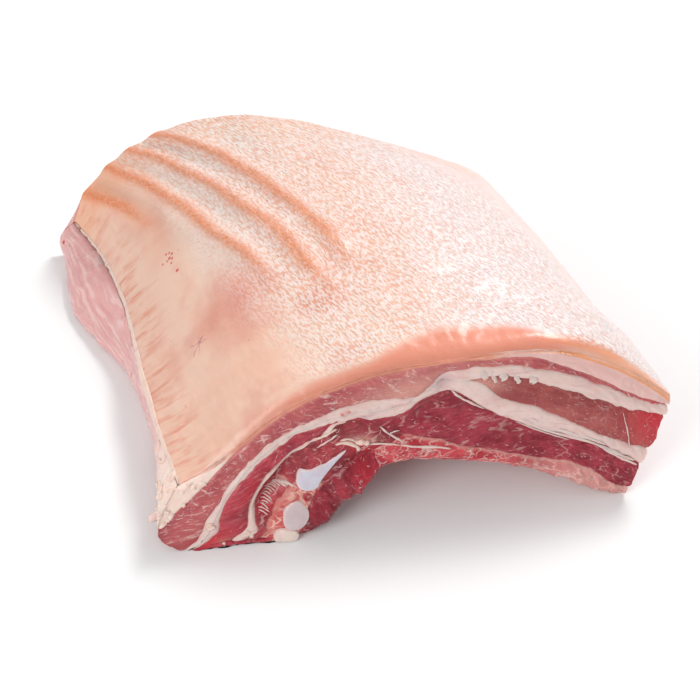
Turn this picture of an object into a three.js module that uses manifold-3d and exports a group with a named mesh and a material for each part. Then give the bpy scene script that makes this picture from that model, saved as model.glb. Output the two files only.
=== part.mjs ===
// A bone-in, rind-on slab of raw pork belly, bent over like a barrel vault and
// standing on its two long sides. Units are millimetres and degrees. +Z is up,
// +X runs along the front cut face and -Y faces out of that cut face. The origin
// is on the ground under the middle of the slab.
//
// Every point of the meat has three coordinates:
//   u  along the bend: 0 at the left edge, 6 at the right edge, 1 per stretch,
//   e  from the rind (0) to the underside (1),
//   v  along the slab: 0 at the front cut, 1 at the back cut.
import * as THREE from 'three';
import * as BufferGeometryUtils from 'three/addons/utils/BufferGeometryUtils.js';
import Module from 'manifold-3d';

// ---- Driving dimensions -------------------------------------------------

// Ground point under the middle of the slab, seen from the front corner frame.
const CENTRE = [-0.6, -17.2];

// Both cut faces lean back by this much.
const CUT_LEAN = 20;
// Turn of the cut faces about Z, at the front and at the back.
const CUT_TURN = { front: 8.5, back: -5 };

// Path of the rind's left edge, from the front cut to the back cut.
const LEFT_EDGE = {
  front: [-77, -109, 33],
  back: [-142, 71, 20],
  swing: 9.5,
  dip: 4,
};

// Bend of the rind in the plane of each cut: where it starts, measured along
// the cut, its heading there, and six stretches of [length, turn].
const RIND_BEND = {
  front: {
    start: -7,
    heading: 26,
    stretches: [[40, 14], [40, -23], [45, -13], [50, -6.5], [45, -30], [31, -13]],
  },
  back: {
    start: 0,
    heading: 77,
    stretches: [[40, -34], [40, -17], [45, -30], [50, -9], [45, -1], [28, -35]],
  },
};

// Bend of the underside, which starts and ends on the ground.
const UNDERSIDE_BEND = {
  front: {
    start: 46.5,
    heading: 20,
    stretches: [[16, 24], [23, -2], [30, -51], [41, -7], [36, -17], [24, 21]],
  },
  back: {
    start: 50,
    heading: 66,
    stretches: [[20, -10], [20, -28], [26, -30], [34, -20], [36, -6], [24, -4]],
  },
};
const STRETCHES = 6;

// The top swells between the cuts, and the right side draws in.
const CROWN = 6;
const WAIST = { depth: 8, flare: 3, flareEnd: 0.45 };

// The cut fat of the left flank stands out past the rind's edge.
const FLANK = {
  swell: 23,
  at: 0.77,
  spread: 0.2,
  corner: 16,
  cornerEnd: 0.28,
  reach: 1.1,
  widerReach: 0.7,
  sink: -10,
};
// Share of the thickness that is fat along the flank's slanted cut.
const FLANK_FAT = { share: 0.62, from: 0.25, over: 0.2, reach: 0.9 };

// Folds of the rind: place across the bend at the middle of the slab.
const FOLDS = { at: [0.95, 1.38, 1.94, 2.37], height: 2.6, width: 0.17 };
const FOLD_RUN = { middle: 0.6, slope: 1.2, tail: 0.8, tailCurve: 4, from: 0.08, over: 0.4 };

// Clear gap between neighbouring pieces, wider close to the foot of the left side.
const GAP = { plain: 0.4, foot: 0.7, footReach: 0.5 };

// Borders between the layers at the front cut: [u, e] pairs, joined smoothly.
const CAP_BASE = [
  [0, 0.3], [0.16, 0.2], [0.45, 0.075], [0.75, 0.038], [1.5, 0.034], [3, 0.034],
  [3.6, 0.038], [4.1, 0.055], [4.4, 0.11], [4.8, 0.145], [5.2, 0.155], [5.6, 0.13], [6, 0.07],
];
const LEAN_OUTER_BASE = [
  [0, 0.6], [0.1, 0.57], [0.18, 0.5], [0.36, 0.33], [0.55, 0.21], [0.75, 0.16], [1.1, 0.145],
  [1.6, 0.18], [2.1, 0.205], [2.6, 0.25], [2.9, 0.285], [3.1, 0.19], [3.3, 0.1], [3.66, 0.085],
  [4, 0.12], [4.3, 0.155], [4.7, 0.175], [5.2, 0.178],
];
const FAT_BAND_BASE = [
  [0, 0.63], [0.1, 0.62], [0.22, 0.58], [0.36, 0.42], [0.46, 0.32], [0.6, 0.25], [0.8, 0.21],
  [1.1, 0.215], [1.5, 0.235], [1.9, 0.3], [2.2, 0.35], [2.45, 0.44], [2.7, 0.455], [2.9, 0.41],
  [3.1, 0.33], [3.28, 0.28], [3.5, 0.39], [3.7, 0.5], [4.1, 0.62], [4.4, 0.665], [4.8, 0.64],
  [5.2, 0.61], [6, 0.65],
];
const WEDGE_TOP = [
  [3.4, 0.19], [3.6, 0.17], [3.9, 0.2], [4.2, 0.26], [4.5, 0.29], [5, 0.29], [5.5, 0.25], [6, 0.17],
];
const WEDGE_BASE = [
  [3.4, 0.2], [3.6, 0.255], [3.75, 0.35], [3.9, 0.41], [4.2, 0.45], [4.6, 0.515], [5, 0.54],
  [5.5, 0.525], [6, 0.5],
];
const LEAN_LEFT_BASE = [
  [0, 0.74], [0.2, 0.72], [0.33, 0.68], [0.46, 0.57], [0.6, 0.45], [0.75, 0.375], [0.95, 0.345],
  [1.3, 0.355], [1.6, 0.36], [2.1, 0.365],
];
const FAT_STRIP_BASE = [
  [0, 0.8], [0.2, 0.785], [0.3, 0.755], [0.48, 0.61], [0.62, 0.5], [0.77, 0.43], [1, 0.405],
  [1.25, 0.405], [1.5, 0.39], [1.65, 0.382], [2.1, 0.385],
];
const LEAN_INNER_BASE = [
  [2.2, 0.37], [2.45, 0.53], [2.74, 0.67], [3.08, 0.74], [3.4, 0.81], [3.8, 0.85], [4.25, 0.87],
  [4.7, 0.84], [5.2, 0.825], [5.7, 0.89], [6, 0.89],
];
const RIB_LEAN_BASE = [
  [0, 0.83], [0.3, 0.8], [0.5, 0.7], [0.75, 0.61], [1, 0.58], [1.15, 0.62], [1.4, 0.7],
];
const ROLL_TOP = [
  [0.25, 0.96], [0.5, 0.91], [0.75, 0.84], [0.95, 0.77], [1.2, 0.735], [1.6, 0.72], [1.9, 0.73],
  [2.2, 0.78], [2.4, 0.82],
];
const LINING_TOP = [[2.2, 0.84], [2.4, 0.76], [2.74, 0.68]];

// Where pieces end along the bend.
const ENDS = {
  leanOuter: 5,
  leanLeft: 2,
  wedge: 3.45,
  leanInner: 2.32,
  ribBed: 1.36,
  rollStart: 0.27,
  roll: 2.32,
};
// The roll stops this much of a stretch short of the lining, and the wedge
// starts this much of a stretch inside the fork of the white band.
const ROLL_TRIM = 0.03;
const WEDGE_LEAD = 0.06;

// Gristle rods: middle of the section as [u, e], half sizes, turn, tail length
// of the drop-shaped one, and how far the front end stands out.
const GRISTLE = {
  upper: { at: [1.22, 0.615], half: [6.5, 5.5], turn: 38, tail: 16, out: 1 },
  middle: { at: [0.68, 0.775], half: [7.2, 5.8], turn: 62, tail: 0, out: 1.4 },
  lower: { at: [0.27, 0.9], half: [6, 5], turn: 20, tail: 0, out: 1.8 },
};
const GRISTLE_SIDES = 14;
const GRISTLE_CLEARANCE = 0.3;
const GRISTLE_GROUND = 0.5;

// Swells and hollows of the front cut: middle along and above the ground line
// of the cut, half sizes, turn, height.
const FRONT_RELIEF = [
  { at: [38, 30], half: [19, 5], turn: 52, height: -8 },
  { at: [17, 28], half: [20, 7], turn: 50, height: 2.5 },
  { at: [2, 22], half: [20, 6], turn: 52, height: 1.5 },
  { at: [42, 9], half: [9, 9], turn: 0, height: 2.5 },
  { at: [60, 9], half: [9, 9], turn: 0, height: 3.5 },
  { at: [73, 27], half: [9, 8], turn: 30, height: 4.5 },
  { at: [79, 38], half: [9, 4], turn: 10, height: -4 },
  { at: [108, 74], half: [16, 5], turn: 5, height: 2 },
  { at: [107, 60], half: [10, 5], turn: 60, height: -2 },
  { at: [180, 50], half: [34, 7], turn: -28, height: 1.5 },
  { at: [150, 42], half: [40, 7], turn: -22, height: -1.2 },
];
// The cut's edges are rounded over by these depths.
const EDGE_ROUND = { rind: 2.4, underside: 3.5, share: 0.1 };

// Steps of the mesh.
const BEND_STEPS = 28;
const BEND_CROWDING = 1.35;
const RUN_STEPS = [0, 0.045, 0.16, 0.32, 0.5, 0.68, 0.86, 1];
const RIND_SPLIT = 2;
const RIND_RUN_STEP = 0.036;
const LAYER_CELLS = 3;

// Colours, as hex values, with roughness.
const FINISH = {
  rind: { colour: 0xf0c0a4, roughness: 0.45 },
  fat: { colour: 0xf1d9d0, roughness: 0.4 },
  leanBrown: { colour: 0xa85a5c, roughness: 0.4 },
  leanRed: { colour: 0xb23848, roughness: 0.35 },
  leanDark: { colour: 0x8f2f3b, roughness: 0.35 },
  lining: { colour: 0xc98a84, roughness: 0.4 },
  gristle: { colour: 0xd9ccd6, roughness: 0.3 },
};

// ---- Plain helpers ------------------------------------------------------

const mix = (a, b, k) => a + (b - a) * k;
const clamp01 = (x) => Math.min(1, Math.max(0, x));
const ease = (x) => clamp01(x) ** 2 * (3 - 2 * clamp01(x));
const hump = (x) => Math.exp(-x * x);
const radians = THREE.MathUtils.degToRad;

// Smooth curve through [x, y] pairs, level beyond its ends.
function smoothCurve(pairs) {
  const slopes = pairs.map((_, i) => {
    const before = pairs[Math.max(0, i - 1)];
    const after = pairs[Math.min(pairs.length - 1, i + 1)];
    return (after[1] - before[1]) / (after[0] - before[0]);
  });
  return (x) => {
    const last = pairs.length - 1;
    if (x <= pairs[0][0]) return pairs[0][1];
    if (x >= pairs[last][0]) return pairs[last][1];
    const i = pairs.findIndex((pair) => pair[0] > x) - 1;
    const width = pairs[i + 1][0] - pairs[i][0];
    const t = (x - pairs[i][0]) / width;
    const rise = t * t * (3 - 2 * t);
    const early = t * (1 - t) ** 2 * width * slopes[i];
    const late = t * t * (t - 1) * width * slopes[i + 1];
    return mix(pairs[i][1], pairs[i + 1][1], rise) + early + late;
  };
}

// Point reached on a chain of arcs at u, which counts the stretches.
function alongBend(bend, u) {
  let [x, y] = bend.start;
  let heading = radians(bend.heading);
  for (let i = 0; i < STRETCHES; i += 1) {
    const [length, turn] = bend.stretches[i];
    const curve = radians(turn) / length;
    const end = Math.min(1, u - i);
    const next = heading + curve * length * end;
    x += (Math.sin(next) - Math.sin(heading)) / curve;
    y -= (Math.cos(next) - Math.cos(heading)) / curve;
    heading = next;
    if (u <= i + 1) break;
  }
  return [x, y];
}

// ---- The form of the whole slab -----------------------------------------

function blendBend(bends, v, startHeight) {
  const { front, back } = bends;
  return {
    start: [mix(front.start, back.start, v), startHeight],
    heading: mix(front.heading, back.heading, v),
    stretches: front.stretches.map(([length, turn], i) => [
      mix(length, back.stretches[i][0], v),
      mix(turn, back.stretches[i][1], v),
    ]),
  };
}

// The cross-section at v: its plane and its two bends.
function sectionAt(v) {
  const turn = radians(mix(CUT_TURN.front, CUT_TURN.back, v));
  const lean = radians(CUT_LEAN);
  const along = new THREE.Vector3(Math.cos(turn), Math.sin(turn), 0);
  const up = new THREE.Vector3(
    -Math.sin(turn) * Math.sin(lean),
    Math.cos(turn) * Math.sin(lean),
    Math.cos(lean),
  );
  const edge = new THREE.Vector3(
    mix(LEFT_EDGE.front[0], LEFT_EDGE.back[0], v) + LEFT_EDGE.swing * Math.sin(Math.PI * v ** 2.2),
    mix(LEFT_EDGE.front[1], LEFT_EDGE.back[1], v),
    mix(LEFT_EDGE.front[2], LEFT_EDGE.back[2], v) - LEFT_EDGE.dip * Math.sin(Math.PI * v),
  );
  const edgeHeight = edge.z / up.z;
  const rind = blendBend(RIND_BEND, v, edgeHeight);
  const underside = blendBend(UNDERSIDE_BEND, v, 0);
  const corner = edge.clone().addScaledVector(along, -rind.start[0]).addScaledVector(up, -edgeHeight);
  return { v, along, up, rind, underside, corner };
}

function foldHeight(u, v) {
  const shift = -FOLD_RUN.slope * (v - FOLD_RUN.middle)
    - FOLD_RUN.tailCurve * Math.max(0, v - FOLD_RUN.tail) ** 2;
  const strength = FOLDS.height * ease((v - FOLD_RUN.from) / FOLD_RUN.over);
  let height = 0;
  for (const at of FOLDS.at) {
    height += strength * hump((u - at - shift) / FOLDS.width);
  }
  return height;
}

// Point of the rind's plain form, in the section's plane.
function rindPoint(section, u) {
  const { v, rind } = section;
  const [x, y] = alongBend(rind, u);
  const swell = CROWN * Math.sin(Math.PI * v) * ease(u / 2) * ease((STRETCHES - u) / 1.2);
  const draw = WAIST.depth * Math.sin(Math.PI * v * v)
    - WAIST.flare * Math.sin(Math.PI * Math.min(1, v / WAIST.flareEnd));
  return [x - draw * ease((u - 3) / 3), y + swell];
}

function flankSwell(v) {
  const middle = FLANK.swell * hump((v - FLANK.at) / FLANK.spread);
  const corner = FLANK.corner * Math.max(0, 1 - v / FLANK.cornerEnd) ** 1.5;
  return middle + corner;
}

// Point inside the section, in its plane: a curve from rind to underside that
// bows out to the left near the left edge.
function pointInSection(section, u, e) {
  const outer = rindPoint(section, u);
  const inner = alongBend(section.underside, u);
  const startMiddle = (section.rind.start[0] + section.underside.start[0]) / 2;
  const startHeight = section.rind.start[1] / 2;
  const reach = FLANK.reach + FLANK.widerReach * ease(section.v / 0.4);
  const pull = clamp01(1 - u / reach) ** 2;
  const bowAlong = -(flankSwell(section.v) + 7.4) / 0.48 - startMiddle;
  const bowUp = FLANK.sink - startHeight;
  const point = [0, 1].map((axis) => {
    const bow = axis === 0 ? bowAlong : bowUp;
    const control = (outer[axis] + inner[axis]) / 2 + pull * bow;
    return (1 - e) ** 2 * outer[axis] + 2 * e * (1 - e) * control + e * e * inner[axis];
  });
  return point;
}

function reliefAt([x, y], list) {
  let height = 0;
  for (const { at, half, turn, height: peak } of list) {
    const angle = radians(turn);
    const dx = x - at[0];
    const dy = y - at[1];
    const a = (dx * Math.cos(angle) + dy * Math.sin(angle)) / half[0];
    const b = (dy * Math.cos(angle) - dx * Math.sin(angle)) / half[1];
    height += peak * Math.exp(-a * a - b * b);
  }
  return height;
}

function edgeRound(e) {
  const rind = EDGE_ROUND.rind * Math.max(0, 1 - e / EDGE_ROUND.share) ** 2;
  const underside = EDGE_ROUND.underside * Math.max(0, 1 - (1 - e) / EDGE_ROUND.share) ** 2;
  return rind + underside;
}

// The flank's cut is fat nearly down to the ground behind the front corner.
function shiftedDepth(u, e, v) {
  const base = capBase(u);
  const lens = ease((v - FLANK_FAT.from) / FLANK_FAT.over) * clamp01(1 - u / FLANK_FAT.reach) ** 2;
  const moved = base + (FLANK_FAT.share - base) * lens;
  if (e <= base) return e * (moved / base);
  return moved + (e - base) * ((1 - moved) / (1 - base));
}

// World position of the point (u, e, v) before the cuts' relief.
function plainPlace(u, e, v) {
  const section = sectionAt(v);
  const flat = pointInSection(section, u, shiftedDepth(u, e, v));
  return toWorld(section, flat);
}

// World position of the point (u, e, v). Points of a cut slide along the slab
// by the relief's height, so that neighbouring pieces keep their borders.
function place(u, e, v) {
  const point = plainPlace(u, e, v);
  if (v === 0) {
    const flat = pointInSection(sectionAt(0), u, e);
    const away = point.clone().sub(plainPlace(u, e, RUN_STEPS[1]));
    point.add(away.setLength(reliefAt(flat, FRONT_RELIEF) - edgeRound(e)));
  }
  if (v === 1) {
    const away = point.clone().sub(plainPlace(u, e, RUN_STEPS[RUN_STEPS.length - 2]));
    point.add(away.setLength(-edgeRound(e)));
  }
  point.z = Math.max(0, point.z);
  return point;
}

function toWorld(section, [x, y]) {
  const point = section.corner.clone();
  point.addScaledVector(section.along, x).addScaledVector(section.up, y);
  point.x -= CENTRE[0];
  point.y -= CENTRE[1];
  return point;
}

// ---- Layer borders ------------------------------------------------------

const capBase = smoothCurve(CAP_BASE);
const leanOuterBase = smoothCurve(LEAN_OUTER_BASE);
const fatBandBase = smoothCurve(FAT_BAND_BASE);
const wedgeTop = smoothCurve(WEDGE_TOP);
const wedgeBase = smoothCurve(WEDGE_BASE);
const leanLeftBase = smoothCurve(LEAN_LEFT_BASE);
const fatStripBase = smoothCurve(FAT_STRIP_BASE);
const leanInnerBase = smoothCurve(LEAN_INNER_BASE);
const ribLeanBase = smoothCurve(RIB_LEAN_BASE);
const rollTop = smoothCurve(ROLL_TOP);
const liningTop = smoothCurve(LINING_TOP);

const bendStations = Array.from(
  { length: BEND_STEPS + 1 },
  (_, i) => STRETCHES * (i / BEND_STEPS) ** BEND_CROWDING,
);

function nearestStation(u) {
  const gaps = bendStations.map((station) => Math.abs(station - u));
  return gaps.indexOf(Math.min(...gaps));
}

const STATION = Object.fromEntries(
  Object.entries(ENDS).map(([name, u]) => [name, nearestStation(u)]),
);

// Half the gap, as a share of the thickness at u.
function gapShare(u) {
  const section = sectionAt(0);
  const [x0, y0] = pointInSection(section, u, 0);
  const [x1, y1] = pointInSection(section, u, 1);
  const gap = GAP.plain + GAP.foot * Math.max(0, 1 - u / GAP.footReach);
  return gap / 2 / Math.hypot(x1 - x0, y1 - y0);
}

// ---- Mesh building ------------------------------------------------------

// Closed geometry from triangles of points, with equal points merged.
function closedGeometry(positions, index) {
  const geometry = new THREE.BufferGeometry();
  geometry.setAttribute('position', new THREE.Float32BufferAttribute(positions, 3));
  geometry.setIndex(index);
  geometry.computeVertexNormals();
  return geometry;
}

// Corners of a block's six faces, each seen anticlockwise from outside.
const BLOCK_FACES = [
  [[0, 0, 0], [0, 0, 1], [0, 1, 1], [0, 1, 0]],
  [[1, 0, 0], [1, 1, 0], [1, 1, 1], [1, 0, 1]],
  [[0, 0, 0], [1, 0, 0], [1, 0, 1], [0, 0, 1]],
  [[0, 1, 0], [0, 1, 1], [1, 1, 1], [1, 1, 0]],
  [[0, 0, 0], [0, 1, 0], [1, 1, 0], [1, 0, 0]],
  [[0, 0, 1], [1, 0, 1], [1, 1, 1], [0, 1, 1]],
];

// Solid made of blocks: bands of cells between border curves, run from the
// front cut to the back cut. Only the faces on the outside are kept.
function layerGeometry(bands) {
  const corners = new Map();
  const faces = new Map();
  const positions = [];
  const cornerId = (band, i, j, k) => {
    const lead = i === band.from ? band.lead ?? 0 : 0;
    const trim = i === band.to ? band.trim ?? 0 : 0;
    const u = bendStations[i] + lead - trim;
    const e = mix(band.outer(u, i), band.inner(u, i), j / band.cells);
    const point = place(u, e, RUN_STEPS[k]);
    const key = [point.x, point.y, point.z].map((value) => value.toFixed(4)).join(' ');
    if (!corners.has(key)) {
      corners.set(key, positions.length / 3);
      positions.push(point.x, point.y, point.z);
    }
    return corners.get(key);
  };
  for (const band of bands) {
    for (let i = band.from; i < band.to; i += 1) {
      for (let j = 0; j < band.cells; j += 1) {
        for (let k = 0; k < RUN_STEPS.length - 1; k += 1) {
          for (const face of BLOCK_FACES) {
            const ids = face.map(([di, dj, dk]) => cornerId(band, i + di, j + dj, k + dk));
            const key = [...ids].sort((a, b) => a - b).join(' ');
            if (faces.has(key)) faces.delete(key);
            else faces.set(key, ids);
          }
        }
      }
    }
  }
  const index = [];
  for (const [a, b, c, d] of faces.values()) {
    if (a !== b && b !== c && c !== a) index.push(a, b, c);
    if (a !== c && c !== d && d !== a) index.push(a, c, d);
  }
  return closedGeometry(positions, index);
}

// One plain band between two borders, with half a gap taken off each side.
function band(from, to, outer, inner, cells = LAYER_CELLS) {
  return {
    from,
    to,
    cells,
    outer: (u) => outer(u) + gapShare(u),
    inner: (u) => inner(u) - gapShare(u),
  };
}

// ---- The pieces ---------------------------------------------------------

// Rows of points are zipped into triangles by their places along the rows.
function zipRows(index, rowA, rowB) {
  let i = 0;
  let j = 0;
  while (i < rowA.length - 1 || j < rowB.length - 1) {
    const canA = i < rowA.length - 1;
    const canB = j < rowB.length - 1;
    const stepA = canA && (!canB || rowA[i + 1].at <= rowB[j + 1].at + 1e-9);
    if (stepA) {
      index.push(rowA[i].id, rowB[j].id, rowA[i + 1].id);
      i += 1;
    } else {
      index.push(rowA[i].id, rowB[j].id, rowB[j + 1].id);
      j += 1;
    }
  }
}

// Splits each step between stations into equal smaller steps.
function splitStations(stations, parts) {
  const result = [];
  for (let i = 0; i < stations.length - 1; i += 1) {
    const count = parts(stations[i + 1] - stations[i]);
    for (let j = 0; j < count; j += 1) {
      result.push({ at: i + j / count, value: mix(stations[i], stations[i + 1], j / count) });
    }
  }
  result.push({ at: stations.length - 1, value: stations[stations.length - 1] });
  return result;
}

// The rind with its folds on a fine grid, the fat's base on the coarse one.
function capGeometry() {
  const positions = [];
  const index = [];
  const add = (point) => {
    positions.push(point.x, point.y, point.z);
    return positions.length / 3 - 1;
  };
  const fineBend = splitStations(bendStations, () => RIND_SPLIT);
  const fineRun = splitStations(RUN_STEPS, (step) => Math.ceil(step / RIND_RUN_STEP));
  const coarseBend = splitStations(bendStations, () => 1);
  const coarseRun = splitStations(RUN_STEPS, () => 1);
  const outerPoint = (u, v) => {
    const point = place(u, 0, v);
    return point.addScaledVector(rindNormal(u, v), foldHeight(u, v));
  };
  const makeGrid = (bend, run, pointAt) => bend.map((b) => run.map((r) => add(pointAt(b.value, r.value))));
  const base = (u) => capBase(u) - gapShare(u);
  const outer = makeGrid(fineBend, fineRun, outerPoint);
  const inner = makeGrid(coarseBend, coarseRun, (u, v) => place(u, base(u), v));
  coverGrid(index, outer, false);
  coverGrid(index, inner, true);
  let ring = ringOf(outer, fineBend, fineRun);
  for (let j = 1; j < LAYER_CELLS; j += 1) {
    const between = emptyRing(coarseBend, coarseRun, (u, v) => add(place(u, base(u) * (j / LAYER_CELLS), v)));
    zipRows(index, ring, between);
    ring = between;
  }
  zipRows(index, ring, ringOf(inner, coarseBend, coarseRun));
  return closedGeometry(positions, index);
}

function rindNormal(u, v) {
  const step = 0.01;
  const alongU = place(Math.min(STRETCHES, u + step), 0, v);
  alongU.sub(place(Math.max(0, u - step), 0, v));
  const near = Math.min(1 - 2 * step, Math.max(step, v));
  const alongV = place(u, 0, near + step).sub(place(u, 0, near - step));
  return new THREE.Vector3().crossVectors(alongU, alongV).normalize();
}

function coverGrid(index, grid, flipped) {
  for (let i = 0; i < grid.length - 1; i += 1) {
    for (let k = 0; k < grid[i].length - 1; k += 1) {
      const a = grid[i][k];
      const b = grid[i + 1][k];
      const c = grid[i + 1][k + 1];
      const d = grid[i][k + 1];
      if (flipped) index.push(a, c, b, a, d, c);
      else index.push(a, b, c, a, c, d);
    }
  }
}

// Walks round the four sides of a grid; idAt gives the point of each place.
function walkRing(bend, run, idAt) {
  const lastB = bend.length - 1;
  const lastR = run.length - 1;
  const endB = bend[lastB].at;
  const endR = run[lastR].at;
  const ring = [];
  for (let i = 0; i < lastB; i += 1) ring.push({ at: bend[i].at, id: idAt(i, 0) });
  for (let k = 0; k < lastR; k += 1) ring.push({ at: endB + run[k].at, id: idAt(lastB, k) });
  for (let i = lastB; i > 0; i -= 1) {
    ring.push({ at: 2 * endB + endR - bend[i].at, id: idAt(i, lastR) });
  }
  for (let k = lastR; k > 0; k -= 1) {
    ring.push({ at: 2 * (endB + endR) - run[k].at, id: idAt(0, k) });
  }
  ring.push({ at: 2 * (endB + endR), id: ring[0].id });
  return ring;
}

const ringOf = (grid, bend, run) => walkRing(bend, run, (i, k) => grid[i][k]);
const emptyRing = (bend, run, addAt) => walkRing(bend, run, (i, k) => addAt(bend[i].value, run[k].value));

function leanOuterGeometry() {
  return layerGeometry([band(0, STATION.leanOuter, capBase, leanOuterBase)]);
}

// The white band forks at the tip of the brown wedge.
function fatBandGeometry() {
  const tip = STATION.wedge;
  const top = (u) => (u > bendStations[STATION.leanOuter] ? capBase(u) : leanOuterBase(u));
  const middle = (u) => (wedgeTop(u) + wedgeBase(u)) / 2;
  const outer = (u) => top(u) + gapShare(u);
  const inner = (u) => fatBandBase(u) - gapShare(u);
  const upperEnd = (u, i) => (i > tip ? wedgeTop(u) - gapShare(u) : middle(u));
  const lowerStart = (u, i) => (i > tip ? wedgeBase(u) + gapShare(u) : middle(u));
  const halfway = (u, i) => (i < tip ? (outer(u) + inner(u)) / 2 : middle(u));
  return layerGeometry([
    { from: 0, to: tip, cells: 1, outer, inner: halfway },
    { from: 0, to: tip, cells: 1, outer: halfway, inner },
    { from: tip, to: BEND_STEPS, cells: 1, outer, inner: upperEnd },
    { from: tip, to: BEND_STEPS, cells: 1, outer: lowerStart, inner },
  ]);
}

// The wedge starts as a sharp edge inside the fork of the white band.
function leanWedgeGeometry() {
  const tip = STATION.wedge;
  const middle = (u) => (wedgeTop(u) + wedgeBase(u)) / 2;
  return layerGeometry([{
    from: tip,
    to: BEND_STEPS,
    cells: LAYER_CELLS,
    lead: WEDGE_LEAD,
    outer: (u, i) => (i > tip ? wedgeTop(u) + gapShare(u) : middle(u)),
    inner: (u, i) => (i > tip ? wedgeBase(u) - gapShare(u) : middle(u)),
  }]);
}

function leanLeftGeometry() {
  return layerGeometry([band(0, STATION.leanLeft, fatBandBase, leanLeftBase)]);
}

function fatStripGeometry() {
  return layerGeometry([band(0, STATION.leanLeft, leanLeftBase, fatStripBase, 1)]);
}

function leanInnerGeometry() {
  return layerGeometry([band(STATION.leanInner, BEND_STEPS, fatBandBase, leanInnerBase)]);
}

function liningGeometry() {
  const top = (u) => (u < 2.74 ? liningTop(u) : leanInnerBase(u));
  const lining = band(STATION.roll, BEND_STEPS, top, () => 1, 2);
  lining.inner = () => 1;
  return layerGeometry([lining]);
}

function leanRibGeometry() {
  const top = (u) => {
    if (u <= bendStations[STATION.leanLeft]) return fatStripBase(u);
    if (u < bendStations[STATION.leanInner]) return fatBandBase(u);
    return leanInnerBase(u);
  };
  const base = (u) => {
    if (u <= bendStations[STATION.ribBed]) return ribLeanBase(u);
    if (u < bendStations[STATION.roll]) return rollTop(u);
    return liningTop(u);
  };
  return layerGeometry([band(0, nearestStation(2.6), top, base)]);
}

function ribBedGeometry() {
  const base = (u) => (u < bendStations[STATION.rollStart] ? 1 : rollTop(u));
  const bed = band(0, STATION.ribBed, ribLeanBase, base);
  const inner = bed.inner;
  bed.inner = (u) => (u < bendStations[STATION.rollStart] ? 1 : inner(u));
  return layerGeometry([bed]);
}

function rollGeometry() {
  const roll = band(STATION.rollStart, STATION.roll, rollTop, () => 1);
  roll.inner = () => 1;
  roll.trim = ROLL_TRIM;
  return layerGeometry([roll]);
}

// A rod of gristle that keeps its place in the layers from front to back.
function gristleGeometry({ at, half, turn, tail, out }, clearance) {
  const angle = radians(turn);
  const outline = [];
  for (let i = 0; i < GRISTLE_SIDES; i += 1) {
    const swing = (2 * Math.PI * i) / GRISTLE_SIDES;
    const stretch = tail * Math.max(0, Math.cos(swing)) ** 6;
    const a = (half[0] + clearance) * Math.cos(swing) + stretch;
    const b = (half[1] + clearance) * Math.sin(swing);
    outline.push([
      a * Math.cos(angle) - b * Math.sin(angle),
      a * Math.sin(angle) + b * Math.cos(angle),
    ]);
  }
  const middles = RUN_STEPS.map((v) => {
    const section = sectionAt(v);
    const flat = pointInSection(section, at[0], shiftedDepth(at[0], at[1], v));
    return { section, flat, point: toWorld(section, flat) };
  });
  const last = middles.length - 1;
  const overshoot = clearance * 20;
  const standOut = out + reliefAt(middles[0].flat, FRONT_RELIEF) + overshoot;
  const ends = new Map([
    [0, middles[0].point.clone().sub(middles[1].point).setLength(standOut)],
    [last, middles[last].point.clone().sub(middles[last - 1].point).setLength(overshoot)],
  ]);
  const positions = [];
  const index = [];
  middles.forEach(({ section, flat }, k) => {
    for (const [a, b] of outline) {
      const height = Math.max(flat[1] + b, GRISTLE_GROUND - clearance);
      const point = toWorld(section, [flat[0] + a, height]);
      if (ends.has(k)) point.add(ends.get(k));
      positions.push(point.x, point.y, point.z);
    }
  });
  const ringStart = (k) => k * GRISTLE_SIDES;
  for (let k = 0; k < RUN_STEPS.length - 1; k += 1) {
    for (let i = 0; i < GRISTLE_SIDES; i += 1) {
      const next = (i + 1) % GRISTLE_SIDES;
      const a = ringStart(k) + i;
      const b = ringStart(k) + next;
      const c = ringStart(k + 1) + next;
      const d = ringStart(k + 1) + i;
      index.push(a, c, b, a, d, c);
    }
  }
  for (let i = 1; i < GRISTLE_SIDES - 1; i += 1) {
    index.push(0, i, i + 1);
    const lastRing = ringStart(last);
    index.push(lastRing, lastRing + i + 1, lastRing + i);
  }
  return closedGeometry(positions, index);
}

// ---- Booleans -----------------------------------------------------------

const wasm = await Module();
wasm.setup();

function toSolid(geometry) {
  const bare = geometry.clone();
  bare.deleteAttribute('normal');
  const merged = BufferGeometryUtils.mergeVertices(bare, 1e-4);
  return new wasm.Manifold(new wasm.Mesh({
    numProp: 3,
    vertProperties: new Float32Array(merged.attributes.position.array),
    triVerts: new Uint32Array(merged.index.array),
  }));
}

function toGeometry(solid) {
  const mesh = solid.getMesh();
  return closedGeometry(Array.from(mesh.vertProperties), Array.from(mesh.triVerts));
}

function cutAway(geometry, cutters) {
  let solid = toSolid(geometry);
  for (const cutter of cutters) solid = solid.subtract(toSolid(cutter));
  return toGeometry(solid);
}

// ---- Assembly -----------------------------------------------------------

function piece(name, geometry, { colour, roughness }) {
  const material = new THREE.MeshStandardMaterial({ color: colour, roughness, metalness: 0 });
  const mesh = new THREE.Mesh(geometry, material);
  mesh.name = name;
  return mesh;
}

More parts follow.
